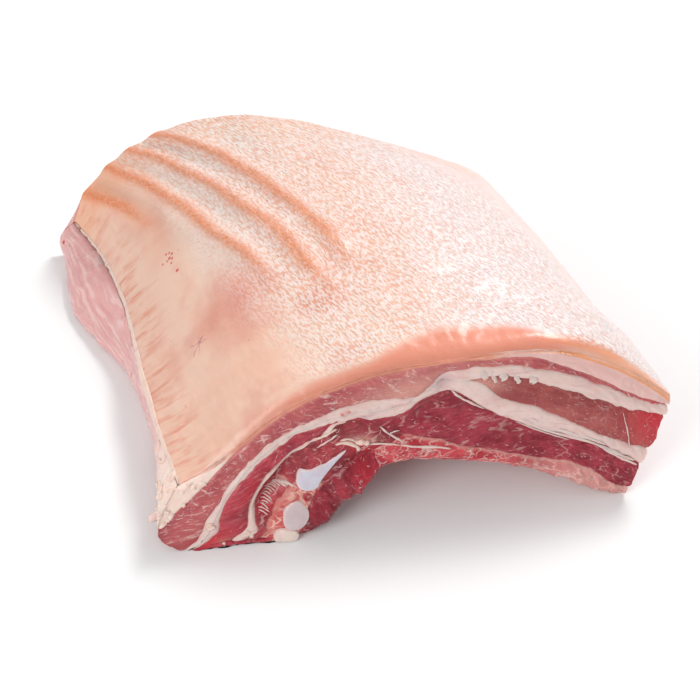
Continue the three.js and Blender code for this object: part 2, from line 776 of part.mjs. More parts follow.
function buildSlab() {
  const slab = new THREE.Group();
  const channels = Object.values(GRISTLE).map((rod) => gristleGeometry(rod, GRISTLE_CLEARANCE));
  slab.add(piece('rind_fat_cap', capGeometry(), FINISH.rind));
  slab.add(piece('lean_outer', leanOuterGeometry(), FINISH.leanBrown));
  slab.add(piece('fat_band', fatBandGeometry(), FINISH.fat));
  slab.add(piece('lean_wedge', leanWedgeGeometry(), FINISH.leanBrown));
  slab.add(piece('lean_left', leanLeftGeometry(), FINISH.leanRed));
  slab.add(piece('fat_strip', fatStripGeometry(), FINISH.fat));
  slab.add(piece('lean_inner', leanInnerGeometry(), FINISH.leanDark));
  slab.add(piece('lean_rib', cutAway(leanRibGeometry(), channels), FINISH.leanBrown));
  slab.add(piece('rib_bed', cutAway(ribBedGeometry(), channels), FINISH.lining));
  slab.add(piece('meat_roll', cutAway(rollGeometry(), channels), FINISH.leanRed));
  slab.add(piece('rib_lining', liningGeometry(), FINISH.lining));
  const lower = cutAway(gristleGeometry(GRISTLE.lower, 0), [channels[1]]);
  slab.add(piece('gristle_upper', gristleGeometry(GRISTLE.upper, 0), FINISH.gristle));
  slab.add(piece('gristle_middle', gristleGeometry(GRISTLE.middle, 0), FINISH.gristle));
  slab.add(piece('gristle_lower', lower, FINISH.gristle));
  return slab;
}

export default buildSlab();
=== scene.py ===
"""Looks of a bone-in, rind-on slab of raw pork belly that stands bent like a barrel vault.

Every point of the meat has three coordinates, as in the solid model:
    u  along the bend: 0 at the left edge, 6 at the right edge,
    e  from the rind (0) to the underside (1),
    v  along the slab: 0 at the front cut, 1 at the back cut.
Lengths are in millimetres until a mesh is made, which is in metres.
"""

import logging
import math
from dataclasses import dataclass, field
from enum import Enum
from typing import Callable, ClassVar

import bmesh
import bpy
import numpy as np
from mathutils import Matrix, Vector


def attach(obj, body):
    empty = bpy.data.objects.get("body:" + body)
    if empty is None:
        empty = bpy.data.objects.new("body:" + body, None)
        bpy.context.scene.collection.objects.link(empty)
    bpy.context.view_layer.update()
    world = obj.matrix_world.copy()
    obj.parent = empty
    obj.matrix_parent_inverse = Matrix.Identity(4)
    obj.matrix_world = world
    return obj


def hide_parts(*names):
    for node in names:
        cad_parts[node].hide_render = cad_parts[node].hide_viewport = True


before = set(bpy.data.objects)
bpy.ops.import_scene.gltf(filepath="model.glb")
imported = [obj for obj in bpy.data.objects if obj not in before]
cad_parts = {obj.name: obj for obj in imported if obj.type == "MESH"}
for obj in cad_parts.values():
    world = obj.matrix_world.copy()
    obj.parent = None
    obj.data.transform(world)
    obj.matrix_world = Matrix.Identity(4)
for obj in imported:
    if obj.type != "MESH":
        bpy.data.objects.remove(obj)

log = logging.getLogger("slab")
Array = np.ndarray
Border = Callable[[Array, Array], Array]
Colour = tuple[float, float, float]

MILLI = 0.001
STRETCHES = 6
FRONT_SLICE = 0.045
BACK_SLICE = 0.14
STRETCH_MM = 36.0
RUN_MM = 190.0


# ---- Plain helpers --------------------------------------------------------


def mix(first: Array | float, second: Array | float, share: Array | float) -> Array | float:
    """Returns the value between first and second at share."""
    return first + (second - first) * share


def ease(x: Array | float) -> Array | float:
    """Returns a soft step from 0 at x = 0 to 1 at x = 1."""
    x = np.clip(x, 0, 1)
    return x * x * (3 - 2 * x)


def hump(x: Array | float) -> Array | float:
    """Returns a bell of height 1 and half width 1."""
    return np.exp(-x * x)


def tone(red: int, green: int, blue: int) -> Colour:
    """Turns screen colour numbers into the linear colour that materials take.

    Args:
        red: Red, 0 to 255.
        green: Green, 0 to 255.
        blue: Blue, 0 to 255.

    Returns:
        The linear colour.
    """

    def linear(value: int) -> float:
        """Returns one channel made linear."""
        share = value / 255
        return share / 12.92 if share < 0.04045 else ((share + 0.055) / 1.055) ** 2.4

    return (linear(red), linear(green), linear(blue))


class SmoothCurve:
    """A smooth curve through (x, y) pairs, level beyond its ends."""

    def __init__(self, pairs: list[tuple[float, float]]) -> None:
        """Keeps the pairs and works out the slopes.

        Args:
            pairs: Points of the curve in order of x.
        """
        self.x = np.array([pair[0] for pair in pairs], float)
        self.y = np.array([pair[1] for pair in pairs], float)
        last = len(pairs) - 1
        after = np.minimum(np.arange(len(pairs)) + 1, last)
        before = np.maximum(np.arange(len(pairs)) - 1, 0)
        self.slope = (self.y[after] - self.y[before]) / (self.x[after] - self.x[before])

    def __call__(self, x: Array) -> Array:
        """Returns the curve's value at x.

        Args:
            x: Where the curve is read.

        Returns:
            The curve's value at x.
        """
        held = np.clip(x, self.x[0], self.x[-1])
        i = np.clip(np.searchsorted(self.x, held, side="right") - 1, 0, len(self.x) - 2)
        width = self.x[i + 1] - self.x[i]
        t = (held - self.x[i]) / width
        rise = t * t * (3 - 2 * t)
        early = t * (1 - t) ** 2 * width * self.slope[i]
        late = t * t * (t - 1) * width * self.slope[i + 1]
        return mix(self.y[i], self.y[i + 1], rise) + early + late


class Grain:
    """Seeded soft noise from -1 to 1, for relief that has no rule."""

    SLOPES = np.array(
        [[1, 1, 0], [-1, 1, 0], [1, -1, 0], [-1, -1, 0], [1, 0, 1], [-1, 0, 1], [1, 0, -1], [-1, 0, -1],
         [0, 1, 1], [0, -1, 1], [0, 1, -1], [0, -1, -1]],
        float,
    )

    @classmethod
    def single(cls, place: Array, seed: int) -> Array:
        """Returns one layer of noise.

        Args:
            place: Points, with their three coordinates last.
            seed: Number that picks the pattern.

        Returns:
            One value per point.
        """
        low = np.floor(place).astype(np.int64)
        part = place - low
        soft = part**3 * (part * (part * 6 - 15) + 10)
        total = np.zeros(place.shape[:-1])
        for corner in range(8):
            bits = np.array([corner & 1, corner >> 1 & 1, corner >> 2 & 1])
            cell = low + bits
            code = cell[..., 0] * 73856093 ^ cell[..., 1] * 19349663 ^ cell[..., 2] * 83492791
            code = (code + seed * 2654435761) & 0x7FFFFFFF
            code = (code ^ (code >> 13)) * 1274126177 & 0x7FFFFFFF
            code = (code ^ (code >> 16)) % 12
            weight = np.prod(np.where(bits == 1, soft, 1 - soft), axis=-1)
            total += weight * np.einsum("...i,...i->...", cls.SLOPES[code], part - bits)
        return total

    @classmethod
    def layered(cls, place: Array, seed: int, layers: int = 3) -> Array:
        """Returns noise with finer layers added at half the height each.

        Args:
            place: Points, with their three coordinates last.
            seed: Number that picks the pattern.
            layers: How many layers.

        Returns:
            One value per point, from about -1 to 1.
        """
        total = np.zeros(place.shape[:-1])
        for layer in range(layers):
            total += cls.single(place * 2.03**layer + 11.7 * layer, seed + layer) * 0.5**layer
        return total * 1.2


def points(*parts: "Array | float") -> Array:
    """Returns the parts joined as the coordinates of points."""
    return np.stack(np.broadcast_arrays(*[np.asarray(part, float) for part in parts]), axis=-1)


def pressed(height: Array) -> Array:
    """Returns heights with the lowest few millimetres settled on the ground."""
    held = np.maximum(height, 0)
    return np.where(held < 3, held * held / 3, held)


def unit(vectors: Array) -> Array:
    """Returns the vectors at length 1."""
    return vectors / np.maximum(np.linalg.norm(vectors, axis=-1, keepdims=True), 1e-9)


# ---- The form of the whole slab -------------------------------------------


@dataclass(frozen=True)
class Bend:
    """A chain of arcs: its start along the cut, its heading, and stretches of (length, turn)."""

    start: float
    heading: float
    stretches: tuple[tuple[float, float], ...]


@dataclass(frozen=True)
class Bump:
    """A swell or hollow of a cut: middle, half sizes, turn in degrees and height."""

    at: tuple[float, float]
    half: tuple[float, float]
    turn: float
    height: float

    def over(self, flat: Array) -> Array:
        """Returns its height at points of the cut's plane.

        Args:
            flat: Places in the cut's plane.

        Returns:
            Its height at points of the cut's plane.
        """
        angle = math.radians(self.turn)
        dx, dy = flat[..., 0] - self.at[0], flat[..., 1] - self.at[1]
        a = (dx * math.cos(angle) + dy * math.sin(angle)) / self.half[0]
        b = (dy * math.cos(angle) - dx * math.sin(angle)) / self.half[1]
        return self.height * np.exp(-a * a - b * b)


@dataclass(frozen=True)
class Fold:
    """A fold's crest over the rind: its (v, u) line, and the place where it has died out."""

    line: tuple[tuple[float, float], ...]
    dies_at: float

    def distance(self, u: Array, v: Array) -> Array:
        """Returns the distance across the bend from the crest."""
        return u - SmoothCurve(list(self.line))(v)

    def strength(self, v: Array) -> Array:
        """Returns how strong the fold is along the slab, 0 to 1."""
        return ease((v - self.dies_at) / 0.2)


@dataclass(frozen=True)
class SlabForm:
    """The bend, the flank, the folds and the cuts of the whole slab."""

    centre: tuple[float, float] = (-0.6, -17.2)
    cut_lean: float = 20
    cut_turn: tuple[float, float] = (8.5, -5)
    edge_front: tuple[float, float, float] = (-77, -109, 33)
    edge_back: tuple[float, float, float] = (-142, 71, 20)
    edge_swing: float = 9.5
    edge_dip: float = 4
    rind_front: Bend = Bend(-7, 26, ((40, 14), (40, -23), (45, -13), (50, -6.5), (45, -30), (31, -13)))
    rind_back: Bend = Bend(0, 77, ((40, -34), (40, -17), (45, -30), (50, -9), (45, -1), (28, -35)))
    under_front: Bend = Bend(46.5, 20, ((16, 24), (23, -2), (30, -51), (41, -7), (36, -17), (24, 21)))
    under_back: Bend = Bend(50, 66, ((20, -10), (20, -28), (26, -30), (34, -20), (36, -6), (24, -4)))
    crown: float = 6
    waist: tuple[float, float, float] = (8, 3, 0.45)
    flank_swell: tuple[float, float, float] = (23, 0.77, 0.2)
    flank_corner: tuple[float, float] = (16, 0.28)
    flank_reach: tuple[float, float] = (1.1, 0.7)
    flank_sink: float = -10
    flank_fat: tuple[float, float, float, float] = (0.62, 0.25, 0.2, 0.9)
    folds: tuple[Fold, ...] = (
        Fold(((0.6, 1.02), (0.85, 0.75), (1, 0.45)), 0.7),
        Fold(((0.28, 2.1), (0.42, 1.93), (0.68, 1.43), (0.9, 1.12), (1, 0.93)), 0.3),
        Fold(((0.25, 2.56), (0.5, 2.25), (0.74, 1.83), (0.92, 1.49), (1, 1.3)), 0.22),
        Fold(((0.35, 2.85), (0.53, 2.63), (0.77, 2.23), (0.94, 1.93), (1, 1.7)), 0.3),
    )
    cap_base: SmoothCurve = field(default_factory=lambda: SmoothCurve(CAP_BASE))

    @staticmethod
    def _along(front: Bend, back: Bend, u: Array, v: Array, start_height: Array) -> Array:
        """Returns points on the blend of two chains of arcs, in the section's plane.

        Args:
            front: The chain of arcs at the front.
            back: The chain of arcs at the back.
            u: Places along the bend.
            v: Places along the slab.
            start_height: Height of the rind's edge at which the chains start.

        Returns:
            Points on the blend of two chains of arcs, in the section's plane.
        """
        heading = np.radians(mix(front.heading, back.heading, v))
        x = mix(front.start, back.start, v) + 0 * u
        y = start_height + 0 * u
        for i in range(STRETCHES):
            length = mix(front.stretches[i][0], back.stretches[i][0], v)
            turn = np.radians(mix(front.stretches[i][1], back.stretches[i][1], v))
            share = np.clip(u - i, 0, 1)
            chord = length * share * np.sinc(turn * share / 2 / np.pi)
            x = x + chord * np.cos(heading + turn * share / 2)
            y = y + chord * np.sin(heading + turn * share / 2)
            heading = heading + turn * share
        return points(x, y)

    def _axes(self, v: Array) -> tuple[Array, Array, Array, Array]:
        """Returns the section's axes, its corner on the ground and the rind edge's height.

        Args:
            v: Places along the slab.

        Returns:
            The section's axes, its corner on the ground and the rind edge's height.
        """
        turn = np.radians(mix(self.cut_turn[0], self.cut_turn[1], v))
        lean = math.radians(self.cut_lean)
        along = points(np.cos(turn), np.sin(turn), 0 * v)
        up = points(-np.sin(turn) * math.sin(lean), np.cos(turn) * math.sin(lean), math.cos(lean) + 0 * v)
        edge = points(
            mix(self.edge_front[0], self.edge_back[0], v) + self.edge_swing * np.sin(np.pi * v**2.2),
            mix(self.edge_front[1], self.edge_back[1], v),
            mix(self.edge_front[2], self.edge_back[2], v) - self.edge_dip * np.sin(np.pi * v),
        )
        height = edge[..., 2] / up[..., 2]
        start = mix(self.rind_front.start, self.rind_back.start, v)
        corner = edge - along * start[..., None] - up * height[..., None]
        return along, up, corner, height

    def flat(self, u: Array, e: Array, v: Array) -> Array:
        """Returns points in the plane of their section.

        Args:
            u: Place along the bend.
            e: Depth as a share.
            v: Place along the slab.

        Returns:
            Points along and above the section's ground line.
        """
        height = self._axes(v)[3]
        outer = self._along(self.rind_front, self.rind_back, u, v, height)
        swell = self.crown * np.sin(np.pi * v) * ease(u / 2) * ease((STRETCHES - u) / 1.2)
        depth, flare, flare_end = self.waist
        draw = depth * np.sin(np.pi * v * v) - flare * np.sin(np.pi * np.minimum(1, v / flare_end))
        outer = outer + points(-draw * ease((u - 3) / 3), swell)
        inner = self._along(self.under_front, self.under_back, u, v, 0 * v)
        reach = self.flank_reach[0] + self.flank_reach[1] * ease(v / 0.4)
        pull = np.clip(1 - u / reach, 0, 1) ** 2
        flank = self.flank_swell[0] * hump((v - self.flank_swell[1]) / self.flank_swell[2])
        flank = flank + self.flank_corner[0] * np.maximum(0, 1 - v / self.flank_corner[1]) ** 1.5
        start_middle = mix(
            (self.rind_front.start + self.under_front.start) / 2,
            (self.rind_back.start + self.under_back.start) / 2,
            v,
        )
        bow = points(-(flank + 7.4) / 0.48 - start_middle, self.flank_sink - height / 2)
        control = (outer + inner) / 2 + pull[..., None] * bow
        e = e[..., None]
        return (1 - e) ** 2 * outer + 2 * e * (1 - e) * control + e * e * inner

    def shifted(self, u: Array, e: Array, v: Array) -> Array:
        """Returns the depth with the flank's fat let down towards the ground.

        Args:
            u: Places along the bend.
            e: Depths from the rind to the underside, 0 to 1.
            v: Places along the slab.

        Returns:
            The depth with the flank's fat let down towards the ground.
        """
        share, start, over, reach = self.flank_fat
        base = self.cap_base(u)
        lens = ease((v - start) / over) * np.clip(1 - u / reach, 0, 1) ** 2
        moved = base + (share - base) * lens
        return np.where(e <= base, e * (moved / base), moved + (e - base) * ((1 - moved) / (1 - base)))

    def plain(self, u: Array, e: Array, v: Array) -> Array:
        """Returns places of the points before any relief.

        Args:
            u: Place along the bend.
            e: Depth as a share.
            v: Place along the slab.

        Returns:
            Points in millimetres.
        """
        u, e, v = np.broadcast_arrays(np.asarray(u, float), np.asarray(e, float), np.asarray(v, float))
        flat = self.flat(u, self.shifted(u, e, v), v)
        along, up, corner, _ = self._axes(v)
        place = corner + along * flat[..., :1] + up * flat[..., 1:]
        return place - np.array([self.centre[0], self.centre[1], 0])

    def thickness(self, u: Array, v: Array) -> Array:
        """Returns how thick the slab is, from rind to underside."""
        return np.linalg.norm(self.plain(u, 1 + 0 * u, v) - self.plain(u, 0 * u, v), axis=-1)


CAP_BASE = [
    (0, 0.3), (0.16, 0.2), (0.45, 0.075), (0.75, 0.038), (1.5, 0.034), (3, 0.034), (3.6, 0.038),
    (4.1, 0.055), (4.4, 0.11), (4.8, 0.145), (5.2, 0.155), (5.6, 0.13), (6, 0.07),
]
LEAN_OUTER_BASE = [
    (0, 0.6), (0.1, 0.57), (0.18, 0.5), (0.36, 0.33), (0.55, 0.21), (0.75, 0.16), (1.1, 0.145),
    (1.6, 0.18), (2.1, 0.205), (2.6, 0.25), (2.9, 0.285), (3.1, 0.19), (3.3, 0.1), (3.66, 0.085),
    (4, 0.12), (4.3, 0.155), (4.7, 0.175), (5.2, 0.178), (5.6, 0.15), (6, 0.09),
]
FAT_BAND_BASE = [
    (0, 0.63), (0.1, 0.62), (0.22, 0.58), (0.36, 0.42), (0.46, 0.32), (0.6, 0.25), (0.8, 0.21),
    (1.1, 0.215), (1.5, 0.235), (1.9, 0.3), (2.2, 0.35), (2.45, 0.44), (2.7, 0.455), (2.9, 0.41),
    (3.1, 0.33), (3.28, 0.28), (3.5, 0.39), (3.7, 0.5), (4.1, 0.62), (4.4, 0.665), (4.8, 0.64),
    (5.2, 0.61), (6, 0.65),
]
WEDGE_TOP = [
    (3.4, 0.19), (3.6, 0.17), (3.9, 0.2), (4.2, 0.26), (4.5, 0.29), (5, 0.29), (5.5, 0.25), (6, 0.17),
]
WEDGE_BASE = [
    (3.4, 0.2), (3.6, 0.255), (3.75, 0.35), (3.9, 0.41), (4.2, 0.45), (4.6, 0.515), (5, 0.54),
    (5.5, 0.525), (6, 0.5),
]
LEAN_LEFT_BASE = [
    (0, 0.74), (0.2, 0.72), (0.33, 0.68), (0.46, 0.57), (0.6, 0.45), (0.75, 0.375), (0.95, 0.345),
    (1.3, 0.355), (1.6, 0.36), (2.1, 0.365),
]
FAT_STRIP_BASE = [
    (0, 0.8), (0.2, 0.785), (0.3, 0.755), (0.48, 0.61), (0.62, 0.5), (0.77, 0.43), (1, 0.405),
    (1.25, 0.405), (1.5, 0.39), (1.65, 0.382), (2.1, 0.385),
]
LEAN_INNER_BASE = [
    (2.2, 0.37), (2.45, 0.53), (2.74, 0.67), (3.08, 0.74), (3.4, 0.81), (3.8, 0.85), (4.25, 0.87),
    (4.7, 0.84), (5.2, 0.825), (5.7, 0.89), (6, 0.89),
]
RIB_LEAN_BASE = [(0, 0.83), (0.3, 0.8), (0.5, 0.7), (0.75, 0.61), (1, 0.58), (1.15, 0.62), (1.4, 0.7)]
ROLL_TOP = [
    (0.25, 0.96), (0.5, 0.91), (0.75, 0.84), (0.95, 0.77), (1.2, 0.735), (1.6, 0.72), (1.9, 0.73),
    (2.2, 0.78), (2.4, 0.82),
]
LINING_TOP = [(2.2, 0.84), (2.4, 0.76), (2.74, 0.68)]
WEDGE_TIP = 3.45

FRONT_RELIEF = [
    Bump((38, 30), (19, 5), 52, -8),
    Bump((17, 28), (20, 7), 50, 2.5),
    Bump((2, 22), (20, 6), 52, 1.5),
    Bump((42, 9), (9, 9), 0, 2.5),
    Bump((60, 9), (9, 9), 0, 3.5),
    Bump((73, 27), (9, 8), 30, 4.5),
    Bump((79, 38), (9, 4), 10, -4),
    Bump((102, 73), (14, 5), 5, 2),
    Bump((116, 74), (5, 4), 40, -3.5),
    Bump((107, 60), (10, 5), 60, -2),
    Bump((180, 50), (34, 7), -28, 1.5),
    Bump((150, 42), (40, 7), -22, -1.2),
]


class Layers:
    """The borders between the slab's layers, each with its own waviness."""

    def __init__(self, form: SlabForm) -> None:
        """Keeps the form.

        Args:
            form: The form of the slab.
        """
        self.form = form

    def _wavy(self, pairs: list[tuple[float, float]], seed: int, sway: float) -> Border:
        """Returns a border through the pairs that strays by up to sway millimetres.

        Args:
            pairs: Pairs of place and depth.
            seed: Seed of the noise.
            sway: Largest stray in millimetres.

        Returns:
            A border through the pairs that strays by up to sway millimetres.
        """
        curve = SmoothCurve(pairs)

        def border(u: Array, v: Array) -> Array:
            """Returns the depth of the border.

            Args:
                u: Places along the bend.
                v: Places along the slab.

            Returns:
                The depth of the border.
            """
            spot = points(u * STRETCH_MM / 8, v * RUN_MM / 14, seed)
            fine = points(u * STRETCH_MM / 2.6, v * RUN_MM / 5, seed)
            stray = Grain.single(spot, seed) + 0.5 * Grain.single(fine, seed + 1)
            return curve(u) + sway * stray / self.form.thickness(u, v)

        return border

    def build(self) -> dict[str, Border]:
        """Returns the borders by name, from the rind down.

        Returns:
            The borders by name, from the rind down.
        """
        cap = self._wavy(CAP_BASE, 3, 0.25)
        outer = self._wavy(LEAN_OUTER_BASE, 5, 1.0)
        band = self._wavy(FAT_BAND_BASE, 7, 1.1)
        top = self._wavy(WEDGE_TOP, 9, 1.2)
        base = self._wavy(WEDGE_BASE, 11, 0.9)
        left = self._wavy(LEAN_LEFT_BASE, 13, 0.9)
        strip = self._wavy(FAT_STRIP_BASE, 15, 0.6)
        inner = self._wavy(LEAN_INNER_BASE, 17, 1.0)
        rib = self._wavy(RIB_LEAN_BASE, 19, 1.2)
        roll = self._wavy(ROLL_TOP, 21, 0.8)
        lining = self._wavy(LINING_TOP, 23, 0.8)

        def under(first: Border, second: Border, least: float = 0.002) -> Border:
            """Returns the second border, kept below the first."""
            return lambda u, v: np.maximum(second(u, v), first(u, v) + least)

        def joined(first: Border, second: Border, start: float, over: float) -> Border:
            """Returns a border that goes from the first to the second past start."""
            return lambda u, v: mix(first(u, v), second(u, v), ease((u - start) / over))

        def tip(side: Border, other: Border) -> Border:
            """Returns a side of the wedge, closing to a blunt point at its tip.

            Args:
                side: The side to close.
                other: The side opposite it.

            Returns:
                A side of the wedge, closing to a blunt point at its tip.
            """

            def border(u: Array, v: Array) -> Array:
                """Returns the depth of the wedge's side."""
                middle = (side(u, v) + other(u, v)) / 2
                return mix(middle, side(u, v), np.clip((u - WEDGE_TIP) / 0.3, 0, 1) ** 0.6)

            return border

        outer_base = under(cap, outer)
        band_base = under(outer_base, band, 0.01)
        left_base = joined(left, band_base, 1.7, 0.35)
        strip_base = joined(strip, band_base, 1.78, 0.35)
        inner_base = joined(band_base, inner, 2.12, 0.2)
        low = joined(roll, lining, 2.2, 0.2)
        return {
            "rind": lambda u, v: 0 * (u + v),
            "cap": cap,
            "lean_outer": outer_base,
            "wedge_top": tip(top, base),
            "wedge_base": tip(base, top),
            "fat_band": band_base,
            "lean_left": under(band_base, left_base, 0),
            "fat_strip": under(left_base, strip_base, 0),
            "lean_inner": under(band_base, inner_base, 0),
            "rib_top": joined(under(left_base, strip_base, 0), inner_base, 2.05, 0.1),
            "rib_base": joined(rib, low, 1.2, 0.25),
            "roll_top": joined(lambda u, v: 1 + 0 * (u + v), low, 0.12, 0.2),
            "lining_top": joined(low, inner_base, 2.6, 0.14),
            "under": lambda u, v: 1 + 0 * (u + v),
        }


# ---- Mesh building --------------------------------------------------------


class End(Enum):
    """How a layer ends along the bend."""

    CUT = "cut"
    TAPER = "taper"
    OPEN = "open"


@dataclass
class Shell:
    """The points, faces and painted fields of one piece while it is being made."""

    places: list[Array] = field(default_factory=list)
    faces: list[list[int]] = field(default_factory=list)
    fields: dict[str, list[Array]] = field(default_factory=dict)
    count: int = 0

    def add(self, places: Array, faces: list[list[int]], fields: dict[str, Array]) -> None:
        """Adds points with their faces and fields.

        Args:
            places: Points in millimetres.
            faces: Corners of each face, counted from the first of these points.
            fields: Value per point of each painted field.
        """
        self.places.append(places)
        self.faces += [[corner + self.count for corner in face] for face in faces]
        for name, values in fields.items():
            self.fields.setdefault(name, []).append(values)
        self.count += len(places)

    def mesh(self, name: str) -> bpy.types.Mesh:
        """Makes the mesh, with points at one place joined.

        Args:
            name: The mesh's name.

        Returns:
            A closed mesh in metres.
        """
        mesh = bpy.data.meshes.new(name)
        mesh.from_pydata((np.concatenate(self.places) * MILLI).tolist(), [], self.faces)
        for title, parts in self.fields.items():
            values = np.concatenate(parts)
            kind = "FLOAT_VECTOR" if values.ndim == 2 else "FLOAT"
            layer = mesh.attributes.new(title, kind, "POINT")
            layer.data.foreach_set(
                "vector" if values.ndim == 2 else "value", values.astype(np.float32).ravel()
            )
        work = bmesh.new()
        work.from_mesh(mesh)
        bmesh.ops.remove_doubles(work, verts=work.verts, dist=2e-6)
        work.to_mesh(mesh)
        work.free()
        mesh.polygons.foreach_set("use_smooth", np.ones(len(mesh.polygons), bool))
        mesh.update()
        return mesh


@dataclass(frozen=True)
class Mark:
    """A stain, or a patch of painted shade, on the front cut: which kind, its middle, half sizes and turn."""

    kind: str
    at: tuple[float, float]
    half: tuple[float, float]
    turn: float = 0
    strength: float = 1


MARKS = [
    Mark("bright", (5, 3.8), (9, 4), 10),
    Mark("pale", (10.4, 1.9), (5, 3), 10, 0.8),
    Mark("bright", (214, 42), (13, 15), 10),
    Mark("pale", (134, 71.5), (10, 5), -8, 0.75),
    # Painted shade: a greyish patch in the hollow where the white band forks at the wedge's tip.
    Mark("vein", (117, 74), (5, 3), 40, 0.5),
    Mark("bright", (76, 34), (6, 12), 40, 0.5),
    Mark("bright", (78, 44), (9, 3.5), -15, 0.8),
    Mark("dark", (69, 37), (9, 5), 40),
    Mark("dark", (56, 11), (10, 10), 0, 0.75),
    Mark("dark", (60, 56), (14, 4), 20, 0.7),
    Mark("dark", (84, 56), (12, 6), -10, 0.6),
    Mark("pale", (77, 49.3), (6, 2.2), -10, 1),
    Mark("pale", (100, 74), (24, 6), 12, 0.9),
    Mark("pale", (133, 76), (8, 5), 0, 0.8),
    Mark("dark", (150, 62), (12, 7), -10, 0.7),
    Mark("bright", (33, 19), (7, 5), 30, 0.6),
    Mark("bright", (24, 30), (14, 3), 52, 0.55),
    Mark("stain", (68.6, 64.4), (0.7, 0.7), 0),
    Mark("stain", (71.4, 65.1), (0.7, 0.7), 0),
    Mark("vein", (78.5, 61.5), (1.6, 0.9), 10),
    Mark("vein", (80.5, 62), (4, 1.6), 10, 0.5),
    Mark("vein", (168, 38), (22, 2.4), -22, 0.55),
]


